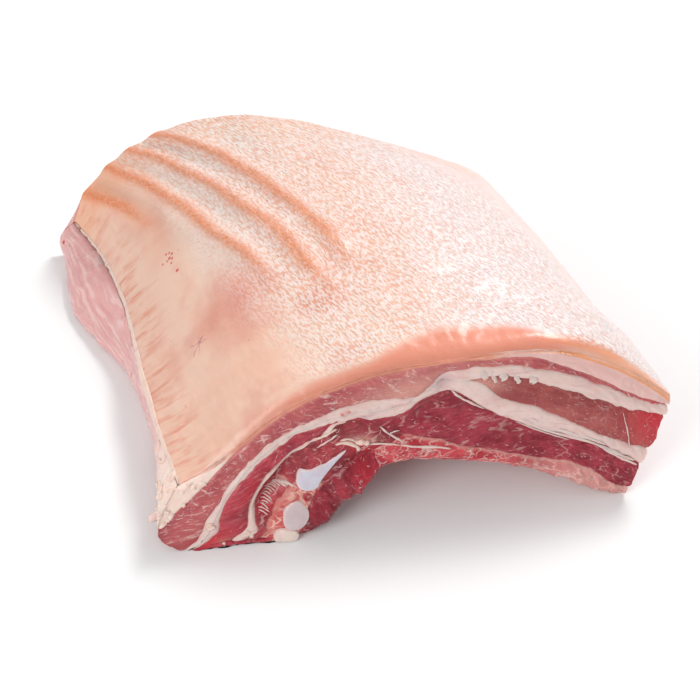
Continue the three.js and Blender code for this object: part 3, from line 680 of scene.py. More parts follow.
class LayerMaker:
    """Makes the shells of the slab's layers between two borders."""

    def __init__(self, form: SlabForm) -> None:
        """Keeps the form.

        Args:
            form: The form of the slab.
        """
        self.form = form
        self.overlap = 0.3

    def stations(self, start: float, end: float, step: float) -> Array:
        """Returns places along the bend, about step millimetres apart."""
        count = max(4, round((end - start) * STRETCH_MM / step))
        return np.linspace(start, end, count + 1)

    def runs(self, cells: int) -> Array:
        """Returns places along the slab, closer together at the cuts.

        Args:
            cells: How many cells there are.

        Returns:
            Places along the slab, closer together at the cuts.
        """
        even = np.linspace(0, 1, cells + 1)
        graded = 0.5 - 0.5 * np.cos(np.pi * even)
        runs = mix(even, graded, 0.75)
        return np.unique(np.concatenate([[0, 0.004, 0.012, 0.026, FRONT_SLICE], runs[runs > 0.055]]))

    def rim(self, e: Array, top: Array, base: Array, thick: Array, outer: tuple[bool, bool]) -> Array:
        """Returns the distance in millimetres to the nearer border inside the slab.

        Args:
            e: Depths from the rind to the underside, 0 to 1.
            top: Depths of the upper border.
            base: Depths of the lower border.
            thick: The slab's thickness in millimetres.
            outer: Whether each border is a face of the slab.

        Returns:
            The distance in millimetres to the nearer border inside the slab.
        """
        far = np.full(e.shape, 30.0)
        above = far if outer[0] else (e - top) * thick
        below = far if outer[1] else (base - e) * thick
        return np.minimum(above, below)

    def pillow(self, rim: Array, height: float) -> Array:
        """Returns how far a layer's cut stands out, level in its middle and low at its border."""
        return np.where(rim > 0, height * (1 - np.exp(-np.maximum(rim, 0) / 1.3)), 1.3 * rim)

    def shell(
        self,
        shell: Shell,
        top: Border,
        base: Border,
        us: Array,
        vs: Array,
        cells: int,
        ends: tuple[End, End] = (End.CUT, End.CUT),
        outer: tuple[bool, bool] = (False, False),
        joined: tuple[bool, bool] = (False, False),
        fading: tuple[bool, bool] = (True, True),
        height: float = 0.7,
        grain: float = 0.3,
        seed: int = 1,
        spread: Callable[[Array, Array, Array, Array], Array] | None = None,
        lift: Callable[[Array, Array], Array] | None = None,
        stride: tuple[int, int] = (3, 1),
    ) -> None:
        """Adds one closed layer between two borders to a shell.

        Args:
            shell: What the layer is added to.
            top: Border nearer the rind.
            base: Border nearer the underside.
            us: Places along the bend.
            vs: Places along the slab.
            cells: How many cells across the layer.
            ends: How the layer ends on the left and on the right.
            outer: Whether the top and the base are the slab's own surface.
            joined: Whether the top and the base meet another half of the same layer.
            fading: Whether the overlap of the top and the base dies out at an open end.
            height: How far the layer's cut stands out.
            grain: Height of the cut's fine relief.
            seed: Number that picks the relief.
            spread: Distance to a border that replaces the plain one.
            lift: Height of the relief of the slab's own surface.
            stride: Steps of the hidden faces.
        """
        nu, nv = len(us) - 1, len(vs) - 1
        uu, vv = np.meshgrid(us, vs, indexing="ij")
        thick = self.form.thickness(uu, vv)
        top_e, base_e = top(uu, vv), base(uu, vv)
        reaches = []
        for side in (0, 1):
            reach = np.full(uu.shape, 0.0 if outer[side] or joined[side] else self.overlap)
            for end, away in ((ends[0], uu - us[0]), (ends[1], us[-1] - uu)):
                if end is End.TAPER or (end is End.OPEN and fading[side]):
                    reach = reach * ease(away / 0.1)
            reaches.append(reach / thick)
        low = top_e - reaches[0]
        high = np.maximum(base_e, top_e) + reaches[1]
        used = np.zeros((nu + 1, cells + 1, nv + 1), bool)
        used[:, :, [0, -1]] = True
        used[[0, -1], 0, :] = used[[0, -1], -1, :] = True
        if ends[0] is not End.OPEN:
            used[0] = True
        if ends[1] is not End.OPEN:
            used[-1] = True
        for side, row in ((0, 0), (1, -1)):
            if outer[side]:
                used[:, row, :] = True
            else:
                used[np.ix_(
                    self._steps(nu, stride[0]), [row % (cells + 1)], self._steps(nv, stride[1])
                )] = True
        ids = np.full(used.shape, -1)
        ids[used] = np.arange(used.sum())
        i, j, k = np.nonzero(used)
        share = j / cells
        u, v = us[i], vs[k]
        e = mix(low[i, k], high[i, k], share)
        hidden = ((j == 0) & (not outer[0])) | ((j == cells) & (not outer[1]))
        inside = ease(np.minimum(v, 1 - v) / 0.05) * ease(np.minimum(u - us[0], us[-1] - u) / 0.1)
        e = mix(e, (low[i, k] + high[i, k]) / 2, 0.45 * hidden * inside * (not any(joined)))
        rim = self.rim(
            e, top_e[i, k], base_e[i, k], thick[i, k], (outer[0] or joined[0], outer[1] or joined[1])
        )
        if spread is not None:
            rim = np.minimum(rim, spread(u, e, v, thick[i, k]))
        place = self.form.plain(u, e, v)
        lay = points(u * STRETCH_MM, e * thick[i, k], v * RUN_MM)
        core = self.form.plain(0 * u + 1.1, 0 * e + 0.5, v)
        draw = 0.35 * hidden * inside * ease((1.1 - u) / 0.5) * (not any(joined))
        place = mix(place, core, draw[:, None])
        place = self._slide(place, u, e, v, rim, lay, height, grain, seed)
        place = self._ends(place, u, e, v, rim, lay, (i == 0, i == nu), ends, height, seed)
        for side, row in ((0, 0), (1, -1)):
            if outer[side] and lift is not None:
                grid = self.form.plain(uu, 0 * uu + side, vv)
                normal = unit(np.cross(np.gradient(grid, axis=0), np.gradient(grid, axis=1)))
                rise = lift(uu, vv)[..., None] * normal * (1 if side == 0 else -1)
                part = (1 - share) if side == 0 else share
                place = place + rise[i, k] * part[:, None] ** 2
        place[:, 2] = pressed(place[:, 2])
        depth = np.linalg.norm(place - self.form.plain(u, 0 * e, v), axis=-1)
        depth = np.where((j == 0) & outer[0], 0, depth)
        fields = {
            "lay": lay * MILLI,
            "rim": np.maximum(rim, 0),
            "depth": depth,
            "bend": u,
            "run": v,
            "cut": ((k == 0) | (k == nv)).astype(float),
        }
        fields.update(self._marks(u, e, v))
        shell.add(place, self._faces(ids, ends, outer, stride), fields)

    def _steps(self, count: int, stride: int) -> Array:
        """Returns every stride-th step with both ends."""
        return np.unique(np.append(np.arange(0, count, stride), count))

    def _slide(
        self, place: Array, u: Array, e: Array, v: Array, rim: Array, lay: Array,
        height: float, grain: float, seed: int,
    ) -> Array:
        """Moves points by the relief of the two cuts, which fades into the slab.

        Args:
            place: The points.
            u: Their places along the bend.
            e: Their depths as shares.
            v: Their places along the slab.
            rim: Their distances to the layer's border.
            lay: Their places along the layers.
            height: How far the layer's cut stands out.
            grain: Height of the fine relief.
            seed: Number that picks the relief.

        Returns:
            The moved points.
        """
        near = v < FRONT_SLICE
        if near.any():
            un, en = u[near], e[near]
            front = self.form.plain(un, en, 0 * un)
            away = unit(front - self.form.plain(un, en, 0 * un + FRONT_SLICE))
            flat = self.form.flat(un, en, 0 * un)
            rise = sum(bump.over(flat) for bump in FRONT_RELIEF)
            rise = rise - 2.4 * np.maximum(0, 1 - en / 0.1) ** 2 - 3.5 * np.maximum(0, en / 0.1 - 9) ** 2
            rise = rise + self.pillow(rim[near], height) + self._rough(lay[near], grain, seed)
            place = place.copy()
            place[near] += away * (rise * (1 - v[near] / FRONT_SLICE))[:, None]
        far = v > 1 - BACK_SLICE
        if far.any():
            ub, eb = u[far], e[far]
            back = self.form.plain(ub, eb, 0 * ub + 1)
            away = unit(back - self.form.plain(ub, eb, 0 * ub + 1 - BACK_SLICE))
            rise = -2.4 * np.maximum(0, 1 - eb / 0.1) ** 2 - 3.5 * np.maximum(0, eb / 0.1 - 9) ** 2
            fade = 1 - (1 - v[far]) / BACK_SLICE
            skin = self.pillow(rim[far], height) + self._rough(lay[far], grain, seed)
            place = place.copy()
            place[far] += away * (rise * fade + skin * (fade > 0.97))[:, None]
        return place

    def _rough(self, lay: Array, grain: float, seed: int) -> Array:
        """Returns the fine relief of a cut.

        Args:
            lay: Places along the layers, in millimetres.
            grain: Height of the relief.
            seed: Seed of the noise.

        Returns:
            The fine relief of a cut.
        """
        broad = Grain.layered(lay / np.array([7, 4, 30]), seed + 40, 2)
        fine = Grain.layered(lay / np.array([2.6, 1.7, 30]), seed + 60, 2)
        return grain * (1.6 * broad + 0.8 * fine)

    def _ends(
        self, place: Array, u: Array, e: Array, v: Array, rim: Array, lay: Array, sides: tuple[Array, Array],
        ends: tuple[End, End], height: float, seed: int,
    ) -> Array:
        """Moves points by the relief of the slab's left and right end.

        Args:
            place: The points.
            u: Their places along the bend.
            e: Their depths as shares.
            v: Their places along the slab.
            rim: Their distances to the layer's border.
            lay: Their places along the layers.
            sides: Which points are on the left end and on the right end.
            ends: How the layer ends on the left and on the right.
            height: How far the layer's cut stands out.
            seed: Number that picks the relief.

        Returns:
            The moved points.
        """
        place = place.copy()
        for column, inward, end in ((sides[0], 0.05, ends[0]), (sides[1], -0.05, ends[1])):
            if end is not End.CUT or not column.any():
                continue
            uc, ec, vc = u[column], e[column], v[column]
            away = unit(self.form.plain(uc, ec, vc) - self.form.plain(uc + inward, ec, vc))
            ragged = Grain.layered(lay[column] / np.array([6, 9, 7]), seed + 80, 3)
            skin = np.clip(ec * self.form.thickness(uc, vc) / 1.5, 0, 1)
            rise = (self.pillow(rim[column], height) + 0.9 * ragged) * skin
            place[column] += away * rise[:, None]
        return place

    def _marks(self, u: Array, e: Array, v: Array) -> dict[str, Array]:
        """Returns the stains and the painted shade of the front cut, by kind.

        Args:
            u: Places along the bend.
            e: Depths from the rind to the underside, 0 to 1.
            v: Places along the slab.

        Returns:
            The stains and the painted shade of the front cut, by kind.
        """
        flat = self.form.flat(u, e, v)
        found = {kind: np.zeros(len(u)) for kind in ("bright", "dark", "pale", "stain", "vein")}
        fade = np.maximum(0, 1 - v / 0.08)
        for mark in MARKS:
            spot = Bump(mark.at, mark.half, mark.turn, mark.strength).over(flat) * fade
            found[mark.kind] = np.maximum(found[mark.kind], spot)
        return found

    def _faces(
        self, ids: Array, ends: tuple[End, End], outer: tuple[bool, bool], stride: tuple[int, int]
    ) -> list:
        """Returns the faces of a box of points, seen anticlockwise from outside.

        Args:
            ids: Numbers of the points in the box.
            ends: How each end of the layer closes.
            outer: Whether each border is a face of the slab.
            stride: Points between the corners of the large faces, each way.

        Returns:
            The faces of a box of points, seen anticlockwise from outside.
        """
        faces = self._quads(ids[:, :, 0], True) + self._quads(ids[:, :, -1], False)
        if ends[0] is not End.OPEN:
            faces += self._quads(ids[0], False)
        if ends[1] is not End.OPEN:
            faces += self._quads(ids[-1], True)
        for side, row, turned in ((0, 0, True), (1, -1, False)):
            grid = ids[:, row, :]
            faces += self._quads(grid, not turned) if outer[side] else self._broad(grid, not turned, stride)
        return faces

    def _quads(self, grid: Array, turned: bool) -> list[list[int]]:
        """Returns the small faces of one side.

        Args:
            grid: Numbers of the points of the side.
            turned: Whether the faces turn the other way.

        Returns:
            The small faces of one side.
        """
        a, b, c, d = grid[:-1, :-1], grid[1:, :-1], grid[1:, 1:], grid[:-1, 1:]
        order = (a, d, c, b) if turned else (a, b, c, d)
        return np.stack([part.ravel() for part in order], axis=1).tolist()

    def _broad(self, grid: Array, turned: bool, stride: tuple[int, int]) -> list[list[int]]:
        """Returns the large faces of a hidden side, which keep every point of its rim.

        Args:
            grid: Numbers of the points of the side.
            turned: Whether the faces turn the other way.
            stride: Points between the corners of the large faces, each way.

        Returns:
            The large faces of a hidden side, which keep every point of its rim.
        """
        nu, nv = grid.shape[0] - 1, grid.shape[1] - 1
        rows, columns = self._steps(nu, stride[0]), self._steps(nv, stride[1])
        faces = []
        for i0, i1 in zip(rows[:-1], rows[1:]):
            for k0, k1 in zip(columns[:-1], columns[1:]):
                low = range(i0, i1) if k0 == 0 else [i0]
                high = range(i1, i0, -1) if k1 == nv else [i1]
                right = range(k0, k1) if i1 == nu else [k0]
                left = range(k1, k0, -1) if i0 == 0 else [k1]
                loop = [grid[i, k0] for i in low] + [grid[i1, k] for k in right]
                loop += [grid[i, k1] for i in high] + [grid[i0, k] for k in left]
                face = [int(corner) for corner in loop]
                faces.append(face[::-1] if turned else face)
        return faces


# ---- Material building ----------------------------------------------------


class Signal:
    """A value, colour or vector on its way through a material, used in Python expressions."""

    def __init__(self, wiring: "Wiring", socket: bpy.types.NodeSocket) -> None:
        """Keeps the socket that gives the value.

        Args:
            wiring: The material's tree.
            socket: The socket that gives the value.
        """
        self.wiring = wiring
        self.socket = socket

    def __add__(self, other: "Signal | float") -> "Signal":
        """Returns the sum."""
        return self.wiring.maths("ADD", self, other)

    __radd__ = __add__

    def __sub__(self, other: "Signal | float") -> "Signal":
        """Returns the difference."""
        return self.wiring.maths("SUBTRACT", self, other)

    def __rsub__(self, other: "Signal | float") -> "Signal":
        """Returns the difference, the other way round."""
        return self.wiring.maths("SUBTRACT", other, self)

    def __mul__(self, other: "Signal | float") -> "Signal":
        """Returns the product."""
        return self.wiring.maths("MULTIPLY", self, other)

    __rmul__ = __mul__

    def __truediv__(self, other: "Signal | float") -> "Signal":
        """Returns the quotient."""
        return self.wiring.maths("DIVIDE", self, other)

    def __pow__(self, other: "Signal | float") -> "Signal":
        """Returns the power."""
        return self.wiring.maths("POWER", self, other)

    def square(self) -> "Signal":
        """Returns the value times itself."""
        return self.wiring.maths("MULTIPLY", self, self)

    def step(self, low: float, high: float) -> "Signal":
        """Returns a soft step, 0 at low and 1 at high.

        Args:
            low: Where the step starts.
            high: Where it ends.

        Returns:
            A soft step, 0 at low and 1 at high.
        """
        node = self.wiring.node(
            "ShaderNodeMapRange",
            {"interpolation_type": "SMOOTHSTEP"},
            {"Value": self, "From Min": low, "From Max": high, "To Min": 0.0, "To Max": 1.0},
        )
        return Signal(self.wiring, node.outputs["Result"])


class Wiring:
    """Adds the nodes of one material."""

    def __init__(self, name: str) -> None:
        """Makes an empty material.

        Args:
            name: The material's name.
        """
        self.material = bpy.data.materials.new(name)
        self.material.use_nodes = True
        self.tree = self.material.node_tree
        self.tree.nodes.clear()

    def node(self, kind: str, settings: dict | None = None, inputs: dict | None = None) -> bpy.types.Node:
        """Adds a node.

        Args:
            kind: The node's type.
            settings: Its settings, which come first.
            inputs: Value or signal of each socket, by name or number.

        Returns:
            The node.
        """
        node = self.tree.nodes.new(kind)
        for name, value in (settings or {}).items():
            setattr(node, name, value)
        for name, value in (inputs or {}).items():
            socket = node.inputs[name]
            if isinstance(value, Signal):
                self.tree.links.new(value.socket, socket)
            elif socket.type == "RGBA":
                socket.default_value = (*value, 1)
            else:
                socket.default_value = value
        return node

    def maths(self, operation: str, *values: Signal | float) -> Signal:
        """Returns the result of one sum on values."""
        node = self.node("ShaderNodeMath", {"operation": operation}, dict(enumerate(values)))
        return Signal(self, node.outputs[0])

    def mix(
        self, share: Signal | float, first: Signal | Colour, second: Signal | Colour, blend: str = "MIX"
    ) -> Signal:
        """Returns a colour between two, by share.

        Args:
            share: How much of the second colour there is, 0 to 1.
            first: The first colour.
            second: The second colour.
            blend: How the colours are blended.

        Returns:
            A colour between two, by share.
        """
        settings = {"data_type": "RGBA", "blend_type": blend, "clamp_factor": True}
        node = self.node("ShaderNodeMix", settings, {0: share, 6: first, 7: second})
        return Signal(self, node.outputs[2])

    def painted(self, name: str) -> Signal:
        """Returns a painted field of the mesh."""
        node = self.node("ShaderNodeAttribute", {"attribute_name": name})
        return Signal(self, node.outputs["Fac"])

    def lay(self, turn: float = 0, stretch: tuple[float, float, float] = (1, 1, 1)) -> Signal:
        """Returns places that follow the layers, turned in the rind and stretched.

        Args:
            turn: Turn about the depth, in degrees.
            stretch: Scale along the bend, the depth and the run.

        Returns:
            Places in metres.
        """
        node = self.node("ShaderNodeAttribute", {"attribute_name": "lay"})
        place = Signal(self, node.outputs["Vector"])
        mapped = self.node(
            "ShaderNodeMapping", {"vector_type": "TEXTURE"},
            {"Vector": place, "Rotation": (0, math.radians(turn), 0), "Scale": tuple(1 / s for s in stretch)},
        )
        return Signal(self, mapped.outputs[0])

    def cut_lay(self, turn: float, stretch: tuple[float, float, float]) -> Signal:
        """Returns places that follow the layers, turned in the cut and stretched.

        Args:
            turn: Turn in the cut, in degrees.
            stretch: Scale along each direction.

        Returns:
            Places that follow the layers, turned in the cut and stretched.
        """
        node = self.node("ShaderNodeAttribute", {"attribute_name": "lay"})
        place = Signal(self, node.outputs["Vector"])
        mapped = self.node(
            "ShaderNodeMapping", {"vector_type": "TEXTURE"},
            {"Vector": place, "Rotation": (0, 0, math.radians(turn)), "Scale": tuple(1 / s for s in stretch)},
        )
        return Signal(self, mapped.outputs[0])

    def noise(
        self, place: Signal, scale: float, detail: float = 3, rough: float = 0.55, warp: float = 0
    ) -> Signal:
        """Returns soft noise from 0 to 1.

        Args:
            place: Where the pattern is read.
            scale: Cells a metre.
            detail: Octaves of finer noise.
            rough: Strength of the finer octaves.
            warp: How far the pattern is bent by itself.

        Returns:
            Soft noise from 0 to 1.
        """
        node = self.node(
            "ShaderNodeTexNoise", {},
            {"Vector": place, "Scale": scale, "Detail": detail, "Roughness": rough, "Distortion": warp},
        )
        return Signal(self, node.outputs[0])

    def cells(self, place: Signal, scale: float, feature: str = "F1", loose: float = 1) -> Signal:
        """Returns the distance in a pattern of cells.

        Args:
            place: Where the pattern is read.
            scale: Cells a metre.
            feature: What is read from the cells.
            loose: How far the cells stray from a grid.

        Returns:
            The distance in a pattern of cells.
        """
        node = self.node(
            "ShaderNodeTexVoronoi", {"feature": feature},
            {"Vector": place, "Scale": scale, "Randomness": loose},
        )
        return Signal(self, node.outputs["Distance"])

    def warped(self, place: Signal, scale: float, amount: float) -> Signal:
        """Returns places that stray by amount.

        Args:
            place: Where the pattern is read.
            scale: Cells a metre.
            amount: Largest stray in metres.

        Returns:
            Places that stray by amount.
        """
        node = self.node("ShaderNodeTexNoise", {}, {"Vector": place, "Scale": scale, "Detail": 2.0})
        centred = self.node("ShaderNodeVectorMath", {"operation": "SUBTRACT"},
                            {0: Signal(self, node.outputs["Color"]), 1: (0.5, 0.5, 0.5)})
        scaled = self.node("ShaderNodeVectorMath", {"operation": "SCALE"},
                           {0: Signal(self, centred.outputs[0]), "Scale": amount})
        moved = self.node("ShaderNodeVectorMath", {"operation": "ADD"},
                          {0: place, 1: Signal(self, scaled.outputs[0])})
        return Signal(self, moved.outputs[0])

    def bump(self, height: Signal, distance: float, below: Signal | None = None) -> Signal:
        """Returns a normal with a relief of that height in metres.

        Args:
            height: The relief, 0 to 1.
            distance: Height of the relief in metres.
            below: Normal that the relief is added to.

        Returns:
            A normal with a relief of that height in metres.
        """
        inputs = {"Height": height, "Distance": distance, "Strength": 1.0}
        if below is not None:
            inputs["Normal"] = below
        return Signal(self, self.node("ShaderNodeBump", {}, inputs).outputs[0])


@dataclass(frozen=True)
class Finish:
    """What every moist food finish has: its shine, film and depth of light."""

    name: str
    shine: float = 0.4
    film: float = 0.12
    film_shine: float = 0.12
    glow: float = 0.15
    glow_reach: tuple[float, float, float] = (1.0, 0.35, 0.25)
    glow_scale: float = 0.0025
    mirror: float = 0.3

    def colour(self, wiring: Wiring) -> Signal:
        """Returns the finish's colour."""
        raise NotImplementedError

    def relief(self, wiring: Wiring) -> Signal:
        """Returns the finish's bumped normal."""
        raise NotImplementedError

    def dullness(self, wiring: Wiring) -> Signal:
        """Returns the finish's roughness."""
        return wiring.noise(wiring.lay(), 260) * 0.2 + (self.shine - 0.1)

    def build(self) -> bpy.types.Material:
        """Makes the material.

        Returns:
            The material.
        """
        wiring = Wiring(self.name)
        surface = wiring.node(
            "ShaderNodeBsdfPrincipled", {},
            {
                "Base Color": self.colour(wiring),
                "Roughness": self.dullness(wiring),
                "Normal": self.relief(wiring),
                "Coat Weight": self.film,
                "Coat Roughness": self.film_shine,
                "Subsurface Weight": self.glow,
                "Subsurface Radius": self.glow_reach,
                "Subsurface Scale": self.glow_scale,
                "IOR": 1.4,
                "Specular IOR Level": self.mirror,
            },
        )
        output = wiring.node("ShaderNodeOutputMaterial")
        wiring.tree.links.new(surface.outputs[0], output.inputs[0])
        return wiring.material


@dataclass(frozen=True)
class RindFinish(Finish):
    """Scalded rind with orange fold crests, over the white fat that its cut shows."""

    peach: Colour = tone(232, 186, 164)
    cream: Colour = tone(238, 212, 198)
    # Pale pink of the rind on the right: its own paler tone, lightened further as a painted sheen of the key
    # light.
    pale: Colour = tone(226, 202, 198)
    orange: Colour = tone(224, 132, 86)
    band: Colour = tone(226, 146, 122)
    blush: Colour = tone(212, 130, 116)
    # Near white of the painted highlights on the rind's ripple crests.
    painted_highlight_white: Colour = tone(244, 236, 234)
    fat: Colour = tone(248, 220, 206)
    lens: Colour = tone(224, 166, 164)
    pink_fat: Colour = tone(236, 190, 182)

    SPOTS: ClassVar[tuple[tuple[float, float, float], ...]] = (
        (0.86, 0.665, 0.8), (0.91, 0.66, 0.8), (0.94, 0.65, 0.9), (0.84, 0.643, 0.7), (0.885, 0.645, 1.1),
        (0.92, 0.637, 0.9), (0.77, 0.647, 0.7), (0.93, 0.59, 1.1), (0.89, 0.626, 0.8),
    )

    def ripples(self, wiring: Wiring) -> Signal:
        """Returns the short wavy ripples that run from front to back, 0 to 1."""
        place = wiring.warped(wiring.lay(-14, (1, 1, 0.36)), 200, 0.0016)
        return wiring.noise(place, 1050, 2, 0.55)

    def rippled_and_sheen(self, wiring: Wiring) -> Signal:
        """Returns how rippled the rind is, which is also where its ripples get painted highlights and painted
        shade: not at all on the left, at the front roll and behind.

        Args:
            wiring: The material's tree.

        Returns:
            How rippled the rind is, and so where its painted ripple highlights and shade show: not at all on
            the left, at the front roll and behind.
        """
        bend, run = wiring.painted("bend"), wiring.painted("run")
        wander = (wiring.noise(wiring.lay(), 45) - 0.5) * 0.5
        near_front = (run + wander * 0.06 - self.front_line(bend)).step(-0.01, 0.03)
        behind = (bend + run * 2 + wander).step(6.9, 5.9)
        return (bend + run + wander).step(1.6, 2.6) * near_front * behind

    def front_line(self, bend: Signal) -> Signal:
        """Returns where along the slab the smooth front band ends."""
        return bend.step(2.4, 3.4) * (1 - bend.step(3.8, 4.6)) * 0.07 + 0.028

    def colour(self, wiring: Wiring) -> Signal:
        """Returns the colour of the rind, and of the fat under it.

        Args:
            wiring: The material's tree.

        Returns:
            The colour of the rind, and of the fat under it.
        """
        bend, run = wiring.painted("bend"), wiring.painted("run")
        lay = wiring.lay()
        skin = self._skin(wiring, bend, run, lay)
        depth = wiring.painted("depth") + (wiring.noise(lay, 300) - 0.5) * 0.4 - bend.step(4.2, 4.8) * 1.2
        rim = wiring.mix(bend.step(3.4, 4.2), self.band, tone(238, 160, 112))
        thick = 1 - bend.step(0.55, 0.8) * (1 - bend.step(3.5, 4.0))
        skin = wiring.mix(depth.step(0.5, 0.9), skin, rim)
        return wiring.mix(depth.step(1.1, 1.6) * thick, skin, self._fat(wiring, bend, run, lay))

    def _skin(self, wiring: Wiring, bend: Signal, run: Signal, lay: Signal) -> Signal:
        """Returns the colour of the rind itself, with painted highlights and painted shade on its ripples and
        a painted sheen on its right side.

        Args:
            wiring: The material's tree.
            bend: Place along the bend.
            run: Place along the slab.
            lay: Place along the layers.

        Returns:
            The colour.
        """
        rippled_and_sheen = self.rippled_and_sheen(wiring)
        fleck = wiring.noise(lay, 560, 3, 0.6)
        cloud = wiring.noise(lay, 38, 3, 0.6)
        colour = wiring.mix(
            wiring.noise(lay, 24, 3, 0.6).step(0.4, 0.62) * 0.7, self.peach, tone(236, 200, 178)
        )
        right = (bend + (wiring.noise(lay, 24) - 0.5) * 1.2).step(2.9, 4.3)
        valley = bend.step(0.9, 1.4) * (1 - bend.step(2.6, 3.4)) * run.step(0.35, 0.6)
        colour = wiring.mix(valley * 0.85, colour, self.cream)
        # Paler towards the right: partly the rind's own paler tone there, partly a painted sheen of the key
        # light from the back right.
        colour = wiring.mix(right * 0.92, colour, self.pale)
        colour = wiring.mix(cloud.step(0.5, 0.7) * (1 - right) * 0.35, colour, self.blush)
        bruise = ((bend - 1.48) * 1.7).square() + ((run - 0.36) * 6.5).square()
        colour = wiring.mix((bruise + wiring.noise(lay, 90) * 1.4).step(1.9, 0.5) * 0.6, colour, self.blush)
        haze = ((bend - 2.7) * 1.1).square() + ((run - 0.62) * 2.6).square()
        warm = (haze + wiring.noise(lay, 60) * 1.2).step(1.7, 0.6) * (1 - right)
        colour = wiring.mix(warm * 0.3, colour, self.orange)
        streak = wiring.noise(
            wiring.warped(wiring.lay(14, (0.2, 1, 1)), 60, 0.006), 260, 3, 0.6
        ).step(0.44, 0.76)
        left = 1 - (bend + (cloud - 0.5) * 0.5).step(0.15, 0.75)
        colour = wiring.mix(streak * left * 0.8, colour, tone(214, 116, 92))
        front = wiring.noise(wiring.lay(0, (1, 1, 2)), 55, 3, 0.6)
        edge = (run + (front - 0.5) * 0.03 - self.front_line(bend)).step(0.02, -0.025) * bend.step(0.4, 1.8)
        colour = wiring.mix(edge * (1 - bend.step(4.2, 4.8)), colour, self.band)
        ember = (((bend - 4.7) * 1.6).square() + ((run - 0.035) * 26).square() + front * 0.8).step(1.5, 0.5)
        colour = wiring.mix(ember * 0.8, colour, self.orange)
        rimward = (run + (front - 0.5) * 0.03).step(0.055, 0.0) * bend.step(4.3, 4.9)
        colour = wiring.mix(rimward * 0.75, colour, tone(236, 164, 124))
        spread = ((bend - 2.4) * 3.4).square() + ((run - 0.27) * 17).square()
        blotch = (spread + wiring.noise(lay, 130) * 1.6).step(2.2, 0.8)
        colour = wiring.mix(blotch * 0.75, colour, tone(216, 132, 98))
        back = (run + (front - 0.5) * 0.06).step(0.88, 0.97) * (1 - right * 0.6)
        colour = wiring.mix(back * 0.55, colour, tone(236, 172, 134))
        crest = wiring.painted("crest")
        colour = wiring.mix(crest * (fleck.step(0.3, 0.6) * 0.4 + 0.6), colour, self.orange)
        ripples = self.ripples(wiring)
        # Painted shade: the troughs of the ripples are painted a darker pink-orange, against the painted
        # highlights on their crests.
        between = wiring.mix(right, tone(232, 174, 150), tone(230, 186, 176))
        colour = wiring.mix(ripples.step(0.47, 0.36) * rippled_and_sheen * 0.55, colour, between)
        # Painted highlight: the crests of the ripples are painted near white where the key light would catch
        # them, more strongly on the right.
        white = ripples.step(0.42, 0.56) * rippled_and_sheen * (1 - crest * 0.8)
        colour = wiring.mix(white * (right * 0.2 + 0.62), colour, self.painted_highlight_white)
        grit = wiring.cells(lay, 760).step(0.25, 0.45)
        colour = wiring.mix((1 - grit) * valley * 0.35, colour, tone(220, 168, 146))
        pores = wiring.cells(wiring.lay(-14, (1, 1, 0.5)), 420).step(0.2, 0.1) * right * rippled_and_sheen
        colour = wiring.mix(pores * 0.7, colour, tone(226, 146, 124))
        specks = wiring.cells(lay, 210).step(0.13, 0.05) * wiring.noise(lay, 70).step(0.5, 0.62)
        colour = wiring.mix(specks * 0.6, colour, tone(214, 104, 84))
        for u, v, size in self.SPOTS:
            near = ((bend - u) * STRETCH_MM).square() + ((run - v) * RUN_MM).square()
            colour = wiring.mix(near.step(size * size, size * size * 0.2) * 0.85, colour, tone(210, 58, 62))
        here = ((bend - 0.87) * 6).square() + ((run - 0.33) * 30).square()
        across = (bend - 0.87) * STRETCH_MM
        along = (run - 0.33) * RUN_MM + (wiring.noise(lay, 260, 2) - 0.5) * 5
        for slope, offset in ((0.7, 0), (-0.4, 1.4), (2.4, -1.2)):
            line = (along - across * slope - offset).square().step(0.22, 0.03) * here.step(1.0, 0.3)
            colour = wiring.mix(line * 0.42, colour, tone(168, 92, 118))
        return colour

    def _fat(self, wiring: Wiring, bend: Signal, run: Signal, lay: Signal) -> Signal:
        """Returns the colour of the fat under the rind: cream in front, pink on the flank and the right.

        Args:
            wiring: The material's tree.
            bend: Place along the bend.
            run: Place along the slab.
            lay: Place along the layers.

        Returns:
            The colour.
        """
        flank = run.step(0.06, 0.3) * (1 - bend.step(0.3, 1))
        right = bend.step(3.2, 4.0)
        grooves = wiring.noise(wiring.warped(wiring.lay(0, (1, 1, 0.05)), 40, 0.001), 1300, 2, 0.5)
        colour = wiring.mix(
            wiring.noise(lay, 160, 3, 0.6).step(0.4, 0.7) * 0.35, self.fat, tone(238, 204, 190)
        )
        colour = wiring.mix(right, colour, self.pink_fat)
        colour = wiring.mix(
            right * wiring.noise(lay, 90, 3, 0.6).step(0.45, 0.7) * 0.5, colour, tone(240, 204, 200)
        )
        colour = wiring.mix(flank * 0.9, colour, self.lens)
        colour = wiring.mix(flank * grooves.step(0.49, 0.36) * 0.6, colour, tone(240, 208, 204))
        colour = wiring.mix(flank * grooves.step(0.52, 0.66) * 0.4, colour, tone(212, 144, 148))
        dots = (wiring.cells(wiring.lay(0, (1, 1, 0.6)), 170).step(0.13, 0.08)
                * wiring.noise(lay, 60).step(0.42, 0.5))
        return wiring.mix(dots * flank * 0.9, colour, tone(196, 40, 54))

